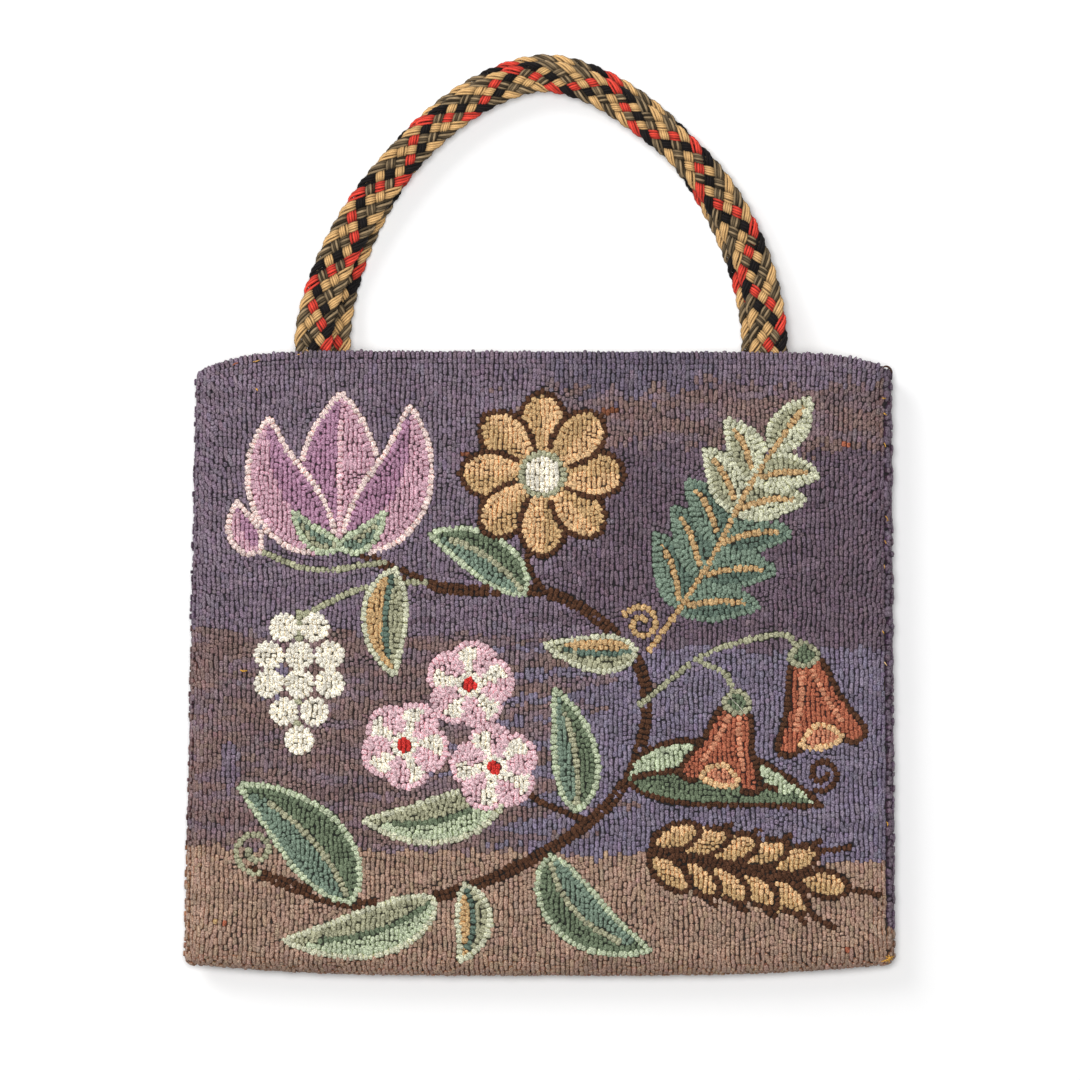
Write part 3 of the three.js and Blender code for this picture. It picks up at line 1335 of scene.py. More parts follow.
@dataclass(frozen=True)
class GroundDyes:
    """The ground's streaky batches of dyed wool, with odd loops of other wools."""

    bands: tuple[DyeBand, ...]
    spots: tuple[DyeSpot, ...] = ()
    odd_loops: tuple[tuple[Pair, Dye], ...] = ()
    slope: float = 0.022
    waver: float = 0.8
    streak: float = 0.07
    spread: float = 0.075
    tint_spread: float = 0.025
    blurred_above: float = 10.0
    blurs: Pair = (1.6, 0.4)
    side_wavers: Pair = (14.0, 24.0)
    plum_share: Pair = (0.2, 0.4)
    most_plum: float = 0.7
    spot_waver: float = 0.3
    level_ripple: Ripple = Ripple(3, 60.0)
    side_ripples: tuple[Ripple, Ripple] = (Ripple(5, 90.0), Ripple(9, 10.0, stretch=14.0))
    plum_ripple: Ripple = Ripple(12, 12.0, stretch=4.0)
    spot_ripple: Ripple = Ripple(6, 14.0)
    streak_ripple: Ripple = Ripple(8, 16.0, stretch=7.0)

    def at(self, x: Array, y: Array, rng: Rng) -> Array:
        """Colours of ground loops.

        Args:
            x: Places across the face.
            y: Places along the face.
            rng: Source of small differences.

        Returns:
            Linear colours, a row each.
        """
        blur = np.where(y > self.blurred_above, *self.blurs)
        level = y + self.slope * x + self.waver * self.level_ripple.at(x, y)
        level = level + blur * rng.normal(0.0, 1.0, len(x))
        side = x
        for waver, ripple in zip(self.side_wavers, self.side_ripples):
            side = side + waver * ripple.at(x, y)
        colour = np.tile(Dye.BASE_BROWN.light, (len(x), 1))
        for band in self.bands:
            held = (level <= band.top) & (level > band.foot) & (side * band.side >= 0)
            colour[held] = band.dye.light
        brown = (colour == Dye.MAUVE_BROWN.light).all(1)[:, None]
        mean, swing = self.plum_share
        share = np.clip(mean + swing * self.plum_ripple.at(x, y), 0.0, self.most_plum)
        colour += (Dye.PLUM_GREY.light - colour) * (share[:, None] * brown)
        for spot in self.spots:
            away = np.hypot(*((np.stack([x, y], 1) - spot.middle) / spot.half_size).T)
            colour[away + self.spot_waver * self.spot_ripple.at(x, y) < 1] = spot.dye.light
        streaks = 1 + self.streak * self.streak_ripple.at(x, y)
        colour = colour * streaks[:, None] * rng.normal(1.0, self.spread, (len(x), 1))
        return colour * rng.normal(1.0, self.tint_spread, (len(x), 3))


@dataclass(frozen=True)
class Handwork:
    """How uneven the hooking is: shifts, spreads and wavelengths of the loops, and turns in radians."""

    row_wander: float = 0.9
    row_wave: float = 34.0
    calm_within: float = 12.0
    column_shift: float = 0.4
    break_spread: float = 0.24
    sway: float = 0.3
    sway_wave: float = 26.0
    place_spread: float = 0.08
    width_spread: float = 0.08
    turn_spread: float = 0.1
    stand_spread: float = 0.16
    tallness: Pair = (0.9, 1.6)
    ragged: float = 0.06


@dataclass(frozen=True)
class MouthRim:
    """The row of knobs along the mouth, the crease under it and the plain rows over its lip."""

    length: float = 3.6
    length_spread: float = 0.1
    rise: float = 1.2
    rise_spread: float = 0.24
    turn_spread: float = 0.12
    narrower: float = 0.08
    width_spread: float = 0.08
    stand: float = 0.2
    crease: float = -1.9
    fold_gap: float = 0.75
    fold_ease: float = 8.0
    folds: tuple[Pair, ...] = ((-136.0, -98.0), (-86.0, -42.0))
    lip_rows: tuple[float, ...] = (2.3, 4.7)
    lip_half_length: float = 1.35
    lip_stand: float = -0.15


@dataclass(frozen=True)
class SeamStitches:
    """The thick overcast stitches that close a side seam: two uneven rows that make a bumpy edge.

    Swells say how unevenly each row stands out, fill how much of the pitch a stitch takes up.
    """

    place: float
    pitch: float
    half_width: float = 1.35
    width_spread: float = 0.16
    swells: Pair = (0.4, 0.55)
    most_swell: float = 0.7
    rows_apart: float = 4.2
    outer_pitch: float = 1.1
    fill: float = 0.9
    fill_spread: float = 0.18
    overlap: float = 0.6
    margin: float = 2.0
    along_spread: float = 0.5
    place_spread: float = 0.45
    turn: Pair = (0.15, 0.4)
    stand: float = 0.15


@dataclass(frozen=True)
class OutlineRows:
    """Rows of loops along the picture's lines: spacing, then mean and spread of the loops' sizes."""

    spacing: float = 2.1
    rows_apart: float = 1.15
    clear: float = 1.45
    half_length: Pair = (1.45, 0.2)
    half_width: Pair = (1.24, 0.1)
    stand: Pair = (0.08, 0.14)
    shade_spread: float = 0.1
    place_spread: float = 0.13
    turn_spread: float = 0.25

    def laid(self, stitches: list[Stitch]) -> tuple[Array, Array, list[Dye]]:
        """Lays loops along the outlines and lines of the picture.

        Args:
            stitches: The picture, from the back to the front.

        Returns:
            Spots on the face, the loops' turns and their dyes.
        """
        spots, turns, dyes = np.zeros((0, 2)), np.zeros(0), []
        for stitch in stitches:
            patch = isinstance(stitch, Patch)
            gone = inside(stitch.outline, spots) if patch else np.zeros(len(spots), bool)
            dye = stitch.edge if patch else stitch.dye
            new, aims = np.zeros((0, 2)), np.zeros(0)
            if dye:
                closed = patch or stitch.closed
                line = spaced(stitch.outline if patch else stitch.line, self.spacing, closed)
                ahead = np.gradient(line, axis=0)
                if closed:
                    ahead = np.roll(line, -1, 0) - np.roll(line, 1, 0)
                ahead /= np.maximum(np.linalg.norm(ahead, axis=1, keepdims=True), 1e-6)
                normal = np.stack([-ahead[:, 1], ahead[:, 0]], 1)
                rows = 1 if patch else stitch.rows
                shifts = (np.arange(rows) - (rows - 1) / 2) * self.spacing * self.rows_apart
                new = np.vstack([line + normal * shift for shift in shifts])
                aims = np.tile(np.arctan2(normal[:, 0], normal[:, 1]), rows)
                gaps = np.linalg.norm(spots[:, None] - new[None], axis=2)
                gone |= gaps.min(1, initial=math.inf) < self.clear
            spots = np.vstack([spots[~gone], new])
            turns = np.append(turns[~gone], aims)
            dyes = [old for old, lost in zip(dyes, gone) if not lost] + [dye] * len(new)
        return spots, turns, dyes

    def loops(self, stitches: list[Stitch], face: PanelFace, rng: Rng) -> Loops:
        """The loops of the picture's outlines and lines.

        Args:
            stitches: The picture, from the back to the front.
            face: The face that they are hooked into.
            rng: Source of small differences.

        Returns:
            The loops.
        """
        spots, turns, dyes = self.laid(stitches)
        count = len(turns)
        colour = np.array([dye.light for dye in dyes]) * rng.normal(1.0, self.shade_spread, (count, 1))
        return Loops(
            face.cloth_place(spots) + rng.normal(0.0, self.place_spread, (count, 2)),
            turns + rng.normal(0.0, self.turn_spread, count),
            rng.normal(*self.half_length, count),
            rng.normal(*self.half_width, count),
            rng.normal(*self.stand, count),
            colour,
        )


@dataclass(frozen=True)
class Easing:
    """Moves loops near the outlines apart, a little at a time; outlines stay where they are."""

    clear: float = 1.35
    free_within: float = 6.0
    room: float = 1.8
    squeeze: Pair = (1.0, 0.8)
    steps: int = 16
    push: float = 0.3
    most_push: float = 0.4
    most_drift: float = 1.3

    def eased(self, loops: Loops, free: Array, edges: Loops) -> Loops:
        """Eases the ground and fillings next to the outlines apart.

        Args:
            loops: Ground and fillings.
            free: Which of them may move.
            edges: Loops of the outlines.

        Returns:
            All loops.
        """
        both = loops.joined(edges)
        moving = np.flatnonzero(free)
        start = both.places.copy()
        for _ in range(self.steps):
            flat = both.places * np.array(self.squeeze)
            tree = tree_of(flat)
            for number in moving:
                push = np.zeros(2)
                for spot, other, gap in tree.find_range((*flat[number], 0.0), self.room):
                    if other != number and gap > 1e-4:
                        push += (flat[number] - np.array(spot[:2])) * (self.room - gap) / gap
                step = np.clip(push * self.push, -self.most_push, self.most_push)
                both.places[number] += step / np.array(self.squeeze)
            drift = both.places[moving] - start[moving]
            both.places[moving] = start[moving] + np.clip(drift, -self.most_drift, self.most_drift)
        return both


@dataclass(frozen=True)
class HoleFilling:
    """Small loops for holes next to the outlines, found on a grid of cells from large to small."""

    cell: float = 0.25
    sizes: tuple[int, ...] = (8, 6, 5, 4, 3)
    probes: tuple[int, int] = (19, 11)
    roundness: int = 3
    near: float = 7.0
    swell: float = 1.2
    longer: float = 1.15
    turn_spread: float = 0.4
    stand: Pair = (-0.2, 0.1)

    def bare_cells(self, loops: Loops, start: Array, cells: Array) -> Array:
        """Cells of the cloth that no loop covers.

        Args:
            loops: All loops so far.
            start: The cloth's first corner.
            cells: How many cells there are across and along.

        Returns:
            True for each bare cell.
        """
        bare = np.ones(cells, bool)
        grid = np.meshgrid(*[np.linspace(-1, 1, count) for count in self.probes])
        along, across = (probe.ravel() for probe in grid)
        held = np.abs(along) ** self.roundness + np.abs(across) ** self.roundness <= 1
        along = along[held] * loops.half_length[:, None]
        across = across[held] * loops.half_width[:, None]
        cos, sin = np.cos(loops.turn)[:, None], np.sin(loops.turn)[:, None]
        cover = np.stack([along * sin + across * cos, along * cos - across * sin], 2)
        cover = (cover + loops.places[:, None]).reshape(-1, 2)
        spots = np.clip(((cover - start) / self.cell).astype(int), 0, cells - 1)
        bare[spots[:, 0], spots[:, 1]] = False
        return bare

    def holes(self, bare: Array) -> Array:
        """Square holes among the bare cells.

        Args:
            bare: True for each bare cell; holes that are found are cleared.

        Returns:
            The holes' middles and sizes in cells, a row each.
        """
        found = []
        for size in self.sizes:
            sums = np.pad(np.cumsum(np.cumsum(bare, 0), 1), ((1, 0), (1, 0)))
            right, left = sums[size:], sums[:-size]
            full = right[:, size:] - left[:, size:] - right[:, :-size] + left[:, :-size]
            for column, row in np.argwhere(full == size * size):
                window = (slice(column, column + size), slice(row, row + size))
                if bare[window].all():
                    bare[window] = False
                    found.append((column + size / 2, row + size / 2, size))
        return np.array(found)

    def fillers(self, loops: Loops, plain: int, edges: Loops, face: PanelFace, rng: Rng) -> Loops:
        """Small loops for the holes that are left next to the outlines.

        Args:
            loops: All loops so far.
            plain: How many of them, from the first, are ground and fillings.
            edges: The loops of the outlines.
            face: The face that they are hooked into.
            rng: Source of small differences.

        Returns:
            The small loops, each in the colour of its nearest neighbour.
        """
        left, right = face.ends()
        start = np.array([left, 0.0])
        cells = ((np.array([right, face.mouth]) - start) / self.cell).astype(int)
        found = self.holes(self.bare_cells(loops, start, cells))
        places = start + found[:, :2] * self.cell
        near = nearest(places, edges.places)[1] < self.near
        places, half = places[near], (found[near, 2] / 2 + self.swell) * self.cell
        colour = loops.colour[nearest(places, loops.places[:plain])[0]]
        stand = rng.normal(*self.stand, len(places))
        turn = rng.normal(0.0, self.turn_spread, len(places))
        return Loops(places, turn, half * self.longer, half, stand, colour)


@dataclass
class HookedPanel:
    """One panel: a foundation cloth with loops hooked all over it."""

    name: str
    node: str
    slot: str
    face: PanelFace
    shape: LoopShape
    parts: int
    seed: int
    ground: GroundDyes
    seam: SeamStitches
    picture: MeadowPicture | None = None
    hand: Handwork = Handwork()
    rim: MouthRim = MouthRim()
    outline: OutlineRows = OutlineRows()
    easing: Easing = Easing()
    filling: HoleFilling = HoleFilling()
    pitch: float = 1.87
    row_pitch: float = 2.2
    missed_breaks: Pair = (0.34, 0.16)
    long_below: float = 48.0
    short_near: float = 4.0
    half_width: float = 1.02
    overlap: Pair = (0.17, 0.1)
    level: float = 0.0
    fill_spread: float = 0.09
    cloth_depth: float = 0.9
    cloth_painted_shade: float = 0.12
    cloth_cells: tuple[int, int] = (84, 70)

    def row_breaks(self, across: Array, outlines: Loops | None, rng: Rng) -> Arrays:
        """Where the columns of loops break, in rows that wander, with some breaks missed for long loops.

        Args:
            across: Places of the columns.
            outlines: The picture's outlines, near which all loops are short.
            rng: Source of small differences.

        Returns:
            Each break's column, place across and place along.
        """
        hand, rim = self.hand, self.rim
        top = self.face.mouth - rim.length - rim.crease
        rows = int(round(top / self.row_pitch))
        x, y = np.meshgrid(across, np.linspace(0.0, top, rows + 1), indexing="ij")
        calm = smoothstep(np.minimum(y, top - y), 0.0, hand.calm_within)
        wander = hand.row_wander * Ripple(self.seed + 2, hand.row_wave).at(x, y)
        wander = wander + rng.normal(0.0, hand.column_shift, (len(across), 1))
        y = y + calm * (wander + rng.normal(0.0, hand.break_spread, y.shape))
        for start, end in rim.folds:
            opening = smoothstep(across, start, start + rim.fold_ease)
            y[:, -1] -= rim.fold_gap * opening * smoothstep(-across, -end, rim.fold_ease - end)
        missed = rng.uniform(size=y.shape) < np.where(y < self.long_below, *self.missed_breaks)
        missed[:, [0, 1, -2, -1]] = False
        if outlines:
            away = nearest(np.stack([x.ravel(), y.ravel()], 1), outlines.places)[1]
            missed &= away.reshape(y.shape) > self.short_near
        missed[:, 1:] &= ~missed[:, :-1]
        column = np.broadcast_to(np.arange(len(across))[:, None], y.shape)
        return column[~missed], x[~missed], y[~missed]

    def ground_loops(self, outlines: Loops | None, rng: Rng) -> Loops:
        """Upright columns of loops over the whole cloth, then the mouth's rim and the side seam.

        Args:
            outlines: The picture's outlines, near which all loops are short.
            rng: Source of small differences.

        Returns:
            The loops, in their ground colours.
        """
        left, right = self.face.ends()
        columns = int((right - left) / self.pitch)
        every = left + (np.arange(columns) + 0.5) * (right - left) / columns
        across = every[np.abs(every - self.seam.place) > self.seam.half_width - self.seam.overlap]
        column, x, breaks = self.row_breaks(across, outlines, rng)
        held = column[1:] == column[:-1]
        middles = ((breaks[1:] + breaks[:-1]) / 2)[held]
        halves = ((breaks[1:] - breaks[:-1]) / 2)[held]
        places = np.stack([x[1:][held], middles], 1)
        count, hand = len(places), self.hand
        sway = hand.sway * Ripple(self.seed + 1, hand.sway_wave).at(*places.T)
        places[:, 0] += sway + rng.normal(0.0, hand.place_spread, count)
        width = rng.normal(self.half_width, hand.width_spread, count)
        halves = halves + rng.normal(*self.overlap, count)
        turn = rng.normal(0.0, hand.turn_spread, count)
        loops = self.made_loops(places, turn, halves, width, 0.0, rng)
        spots = self.face.at(*places.T)[:, :2]
        for middle, dye in self.ground.odd_loops:
            loops.colour[np.linalg.norm(spots - np.array(middle), axis=1).argmin()] = dye.light
        return loops.joined(self.rim_loops(every, rng)).joined(self.seam_loops(rng))

    def made_loops(
        self, places: Array, turn: Array, half_length: Array, half_width: Array, stand: float, rng: Rng
    ) -> Loops:
        """Loops in the ground's colours.

        Args:
            places: Places on the cloth.
            turn: Turns of the long axis.
            half_length: Half lengths.
            half_width: Half widths.
            stand: How far they stand out.
            rng: Source of small differences.

        Returns:
            The loops.
        """
        spots = self.face.at(*places.T)
        stands = stand + self.level + rng.normal(0.0, self.hand.stand_spread, len(places))
        colour = self.ground.at(spots[:, 0], spots[:, 1], rng)
        return Loops(places, turn, half_length, half_width, stands, colour)

    def rim_loops(self, across: Array, rng: Rng) -> Loops:
        """The row of knobs along the mouth and the plain rows over the lip.

        Args:
            across: Places of the columns.
            rng: Source of small differences.

        Returns:
            The loops.
        """
        rim, count = self.rim, len(across)
        middle = self.face.mouth - rim.length / 2 + rim.rise + rng.normal(0.0, rim.rise_spread, count)
        turn = rng.normal(0.0, rim.turn_spread, count)
        half_length = rim.length / 2 * rng.normal(1.0, rim.length_spread, count)
        half_width = rng.normal(self.half_width - rim.narrower, rim.width_spread, count)
        places = np.stack([across, middle], 1)
        loops = self.made_loops(places, turn, half_length, half_width, rim.stand, rng)
        straight, short = np.zeros(count), np.full(count, rim.lip_half_length)
        for row in rim.lip_rows:
            places = np.stack([across, np.full(count, self.face.mouth + row)], 1)
            lip = self.made_loops(places, straight, short, half_width, rim.lip_stand, rng)
            loops = loops.joined(lip)
        return loops

    def seam_loops(self, rng: Rng) -> Loops:
        """Both rows of overcast stitches along the side.

        Args:
            rng: Source of small differences.

        Returns:
            The stitches, as large loops.
        """
        seam = self.seam
        outer = (seam.place - seam.rows_apart, seam.outer_pitch * seam.pitch, seam.swells[1])
        inner = self.seam_row(seam.place, seam.pitch, seam.swells[0], rng)
        return inner.joined(self.seam_row(*outer, rng))

    def seam_row(self, place: float, pitch: float, swell: float, rng: Rng) -> Loops:
        """One row of overcast stitches along the side.

        Args:
            place: Place of the row across the cloth.
            pitch: Room for each stitch along the row.
            swell: How unevenly the stitches stand out.
            rng: Source of small differences.

        Returns:
            The stitches, as large loops.
        """
        seam = self.seam
        count = int(self.face.mouth / pitch)
        along = (np.arange(count) + 0.5) * (self.face.mouth - seam.margin) / count
        along = along + rng.normal(0.0, seam.along_spread, count)
        along[0] = max(along[0], seam.margin)
        places = np.stack([rng.normal(place, seam.place_spread, count), along], 1)
        half_length = pitch / 2 * rng.normal(seam.fill, seam.fill_spread, count)
        half_width = seam.half_width * rng.normal(1.0, seam.width_spread, count)
        turn = rng.normal(*seam.turn, count)
        loops = self.made_loops(places, turn, half_length, half_width, seam.stand, rng)
        loops.stand += np.minimum(np.abs(rng.normal(0.0, swell, count)), seam.most_swell)
        return loops

    def draw(self, loops: Loops, stitches: list[Stitch], edges: Loops, rng: Rng) -> Loops:
        """Hooks the picture into the ground.

        Args:
            loops: The ground's loops.
            stitches: The picture, from the back to the front.
            edges: The loops of its outlines.
            rng: Source of small differences.

        Returns:
            Ground, fillings and outlines together, eased apart, with small loops in the holes.
        """
        spots = self.face.at(*loops.places.T)[:, :2]
        for patch in stitches:
            if isinstance(patch, Patch):
                held = inside(patch.outline, spots)
                loops.colour[held] = patch.fill.light * rng.normal(1.0, self.fill_spread, (held.sum(), 1))
        away = nearest(loops.places, edges.places)[1]
        kept = away > self.easing.clear
        plain = loops.taken(kept)
        both = self.easing.eased(plain, away[kept] < self.easing.free_within, edges)
        return both.joined(self.filling.fillers(both, len(plain), edges, self.face, rng))

    def hook(self, loops: Loops, finish: Material, rng: Rng) -> None:
        """Makes the loops' meshes, in a few pieces from base to mouth.

        Args:
            loops: All loops of the panel.
            finish: The wool.
            rng: Source of small differences.
        """
        shape, flat = self.shape.points(), self.shape.flat_map()
        flip = slice(None, None, -1) if self.face.facing is Facing.FRONT else slice(None)
        local = [rows[:, flip] for rows in self.shape.faces()]
        order = np.argsort(loops.places[:, 1], kind="stable")
        for number, chosen in enumerate(np.array_split(order, self.parts)):
            some, count = loops.taken(chosen), len(chosen)
            points, sideways, onward, outward = self.face.frames(*some.places.T)
            cos, sin = np.cos(some.turn)[:, None], np.sin(some.turn)[:, None]
            long_axis = onward * cos + sideways * sin
            short_axis = sideways * cos - onward * sin
            own = shape * rng.normal(1.0, self.hand.ragged, (count, len(shape), 3))
            tall = np.clip(some.half_width / self.half_width, *self.hand.tallness)[:, None, None]
            mesh = (
                points[:, None]
                + long_axis[:, None] * own[:, :, :1] * some.half_length[:, None, None]
                + short_axis[:, None] * own[:, :, 1:2] * some.half_width[:, None, None]
                + outward[:, None] * (own[:, :, 2:] * tall + some.stand[:, None, None])
            ).reshape(-1, 3)
            low = np.arange(count)[:, None, None] * len(shape)
            faces = [(low + rows[None]).reshape(-1, rows.shape[1]) for rows in local]
            # Each point's share of its loop's height rides in the colour's alpha, for the painted shade at
            # the loop's foot.
            height = np.tile(1 - shape[:, 2] / shape[:, 2].min(), count)
            dyes = np.column_stack([np.repeat(some.colour, len(shape), axis=0), height])
            cells = int(math.ceil(math.sqrt(count)))
            cell = np.stack([np.arange(count) % cells, np.arange(count) // cells], 1)[:, None, None]
            corner_map = np.vstack([((cell + flat[rows][None]) / cells).reshape(-1, 2) for rows in local])
            piece = make_piece(f"{self.name}_loops_{number + 1}", mesh, faces, finish, dyes, corner_map)
            settle(piece, self.node)

    def cloth(self, loops: Loops, finish: Material) -> None:
        """Makes the foundation cloth under the loops, as one closed sheet.

        Args:
            loops: The loops, whose colours the cloth's outer side takes, darkened as painted shade where
                it shows between them.
            finish: The jute.
        """
        left, right = self.face.ends()
        wide, tall = self.cloth_cells
        end = self.face.mouth
        grid = np.meshgrid(np.linspace(left, right, wide + 1), np.linspace(0.0, end, tall + 1))
        across, along = grid[0].ravel(), grid[1].ravel()
        outer = self.face.at(across, along, self.cloth_depth)
        inner = self.face.at(across, along, self.face.form.wall)
        count = len(across)
        numbers = np.arange(count).reshape(tall + 1, wide + 1)
        corners = [numbers[:-1, :-1], numbers[:-1, 1:], numbers[1:, 1:], numbers[1:, :-1]]
        top = np.stack([corner.ravel() for corner in corners], 1)
        border = np.concatenate([numbers[0, :-1], numbers[:-1, -1], numbers[-1, :0:-1], numbers[:0:-1, 0]])
        following = np.roll(border, -1)
        wall = np.stack([border, border + count, following + count, following], 1)
        faces = np.vstack([top, top[:, ::-1] + count, wall])
        if self.face.facing is Facing.BACK:
            faces = faces[:, ::-1]
        # Painted shade: the outer side takes the nearest loop's colour, darkened where the cloth shows
        # deep between the loops; the inner side is bare jute.
        feet = loops.colour[nearest(np.stack([across, along], 1), loops.places)[0]]
        dyes = np.vstack([self.cloth_painted_shade * feet, np.tile(Dye.JUTE.light, (count, 1))])
        piece = make_piece(f"{self.name}_cloth", np.vstack([outer, inner]), [faces], finish, dyes)
        settle(piece, self.node)
        (right - left) * MM

    def build(self, wool: Material, jute: Material) -> None:
        """Makes the cloth and hooks the loops.

        Args:
            wool: The loops' finish.
            jute: The cloth's finish.
        """
        rng = np.random.default_rng(self.seed)
        stitches = self.picture.stitches() if self.picture else []
        edges = self.outline.loops(stitches, self.face, rng) if stitches else None
        loops = self.ground_loops(edges, rng)
        if edges:
            loops = self.draw(loops, stitches, edges, rng)
        LOG.info("%s: %d loops", self.name, len(loops))
        self.cloth(loops, jute)
        self.hook(loops, wool, rng)


@dataclass
class PlaitedHandle:
    """A flat plait of six strands, each of four yarns, along the handle's arch."""

    name: str
    node: str
    form: BagForm
    layer: int
    middle: float
    half_span: float
    left_power: float
    right_power: float
    below: float
    first_red: float
    repeat: float
    strands: tuple[Dye, ...]
    slot: str = "handle_wool"
    seed: int = 40
    band_width: float = 15.4
    band_width_at_top: float = 12.8
    draw_in: Pair = (54.0, 106.0)
    band_thickness: float = 5.2
    handle_gap: float = 0.7
    leg_above_mouth: float = 3.5
    droop_length: float = 34.0
    yarns: int = 4
    yarn_half_width: float = 0.64
    yarn_half_height: float = 0.95
    yarn_spread: float = 0.05
    yarn_overhang: float = 0.25
    plump: float = 1.1
    scallop: float = 0.95
    pinch: float = 0.24
    sharpness: float = 0.985
    edge_power: int = 6
    lift_power: float = 0.7
    lean: float = 0.0
    lean_place: float = 41.0
    lean_length: float = 17.0
    under_light: float = 0.06
    edge_shade: float = 0.44
    hollow_light: float = 0.4
    grey_shades: Pair = (-0.56, 0.58)
    shade_spread: float = 0.1
    wave_lengths: Pair = (2.6, 1.37)
    wave_depths: Pair = (0.06, 0.2)
    tone_limits: Pair = (0.2, 1.95)
    sides: int = 6
    arch_points: int = 1601
    plan_step: float = 0.5
    step: float = 0.8

    def centre_line(self) -> Array:
        """Points along the middle of the band, from the left tab over the arch to the right tab."""
        mouth = self.form.mouth_y
        spring = mouth + self.leg_above_mouth
        rise = self.form.handles_above_mouth - self.leg_above_mouth
        rise = rise - self.band_width_at_top / 2 - self.below
        angle = np.linspace(0.0, math.pi, self.arch_points)
        power = 2.0 / np.where(angle <= QUARTER, self.left_power, self.right_power)
        across = np.sign(np.cos(angle)) * np.abs(np.cos(angle)) ** power
        upward = np.abs(np.sin(angle)) ** power
        arch = np.stack([self.middle - self.half_span * across, spring + rise * upward], 1)
        tab = mouth - self.form.tab_length
        feet = [[[self.middle + side * self.half_span, tab]] for side in (-1, 1)]
        plan = spaced(np.vstack([feet[0], arch, feet[1]]), self.plan_step)
        sink = 1 - smoothstep(plan[:, 1], mouth + self.form.gap, mouth + self.droop_length)
        stacked = self.band_thickness / 2 + self.layer * (self.band_thickness + self.handle_gap)
        height = stacked + (self.form.wall + self.form.gap) * sink
        return spaced(np.hstack([plan, height[:, None]]), self.step)

    def lift(self, turn: Array) -> Array:
        """How far a strand is above or below the band's middle, from -1 to 1.

        It goes over and under by turns, every twelfth of a turn, and holds on longer in the band's middle
        and at its edges.

        Args:
            turn: Turns of the strand from one outer edge to the next.

        Returns:
            1 where it is over, -1 where it is under.
        """
        turn = turn % 1.0
        wave = np.cos(12 * math.pi * turn)
        lift = np.where(turn < 0.5, -wave, wave)
        inner = np.abs(turn - 0.5) < 1 / 12
        lift = np.where(inner, np.cos(6 * math.pi * (turn - 5 / 12)), lift)
        outer = (turn + 1 / 12) % 1.0
        lift = np.where(outer < 1 / 6, -np.cos(6 * math.pi * outer), lift)
        return np.sign(lift) * np.abs(lift) ** self.lift_power

    def plaited(self, place: float, number: int, travel: Array) -> Arrays:
        """The way of one yarn through the plait.

        Args:
            place: The yarn's place in its strand, from -1 to 1.
            number: The strand's number.
            travel: Places along the handle.

        Returns:
            Its swing from side to side and its level, both from -1 to 1, and how open it lies.
        """
        offset = place / 2 / len(self.strands)
        turn = (travel - self.first_red) / self.repeat - number / len(self.strands)
        level = self.lift(turn + offset / 2)
        open_width = np.maximum(np.abs(level), np.sin(math.tau * (turn - 0.25)) ** self.edge_power)
        turn = turn + offset * (1 - self.pinch * (1 - open_width))
        swing = np.arcsin(self.sharpness * np.sin(math.tau * (turn - 0.25))) / math.asin(self.sharpness)
        return swing, level, open_width

    def build(self, wool: Material) -> None:
        """Lays all yarns along the band, as one piece.

        Args:
            wool: The yarn's finish.
        """
        rng = np.random.default_rng(self.seed + self.layer)
        line = self.centre_line()
        heading = unit(np.gradient(line, axis=0))
        sideways = unit(np.stack([heading[:, 1], -heading[:, 0], np.zeros(len(line))], 1))
        up = np.cross(sideways, heading)
        travel = run_lengths(line)
        start, end = (self.form.mouth_y + place for place in self.draw_in)
        drawn = smoothstep(line[:, 1], start, end)
        width = self.band_width + (self.band_width_at_top - self.band_width) * drawn
        circle = ring_points(self.sides, QUARTER)
        # Painted shade: each yarn's sides, down in the grooves between yarns, are coloured darker than its
        # top and bottom.
        crest = smoothstep(np.abs(circle[:, 1]), 0.5, 1.0)
        hollow = self.hollow_light + (1 - self.hollow_light) * crest
        lean = self.lean * np.exp(-(((line[:, 0] - self.lean_place) / self.lean_length) ** 2))
        line = line + sideways * lean[:, None]
        points, dyes = [], []
        for number, dye in enumerate(self.strands):
            for yarn in range(self.yarns):
                place = (2 * yarn + 1) / self.yarns - 1 + rng.normal(0.0, self.yarn_spread)
                swing, level, open_width = self.plaited(place, number, travel)
                reach = width / 2 - self.yarn_half_width + self.yarn_overhang - self.scallop * place**2
                height = (self.band_thickness / 2 - self.yarn_half_height - self.plump * place**2) * level
                path = line + sideways * (reach * swing)[:, None] + up * height[:, None]
                ahead = unit(np.gradient(path, axis=0))
                side = unit(np.cross(up, ahead))
                top = np.cross(ahead, side)
                ring = (
                    path[:, None]
                    + side[:, None] * (circle[:, 0] * self.yarn_half_width)[None, :, None]
                    + top[:, None] * (circle[:, 1] * self.yarn_half_height)[None, :, None]
                )
                points.append(ring.reshape(-1, 3))
                tone = self.spun(dye, yarn, travel, rng)
                # Painted shade: yarns darken where their strand dives under the others and towards its
                # outer edges.
                tone = tone * (self.under_light + (1 - self.under_light) * open_width)
                tone = tone * (1 - self.edge_shade * place**2)
                tone = tone[:, None, None] * hollow[None, :, None]
                dyes.append((tone * dye.light[None, None]).reshape(-1, 3))
        faces, caps, corner_map = self.wrapping(len(line), len(points))
        piece = make_piece(self.name, np.vstack(points), [faces, caps], wool, np.vstack(dyes), corner_map)
        LOG.info("%s: %.0f mm of plait", self.name, travel[-1])
        settle(piece, self.node)

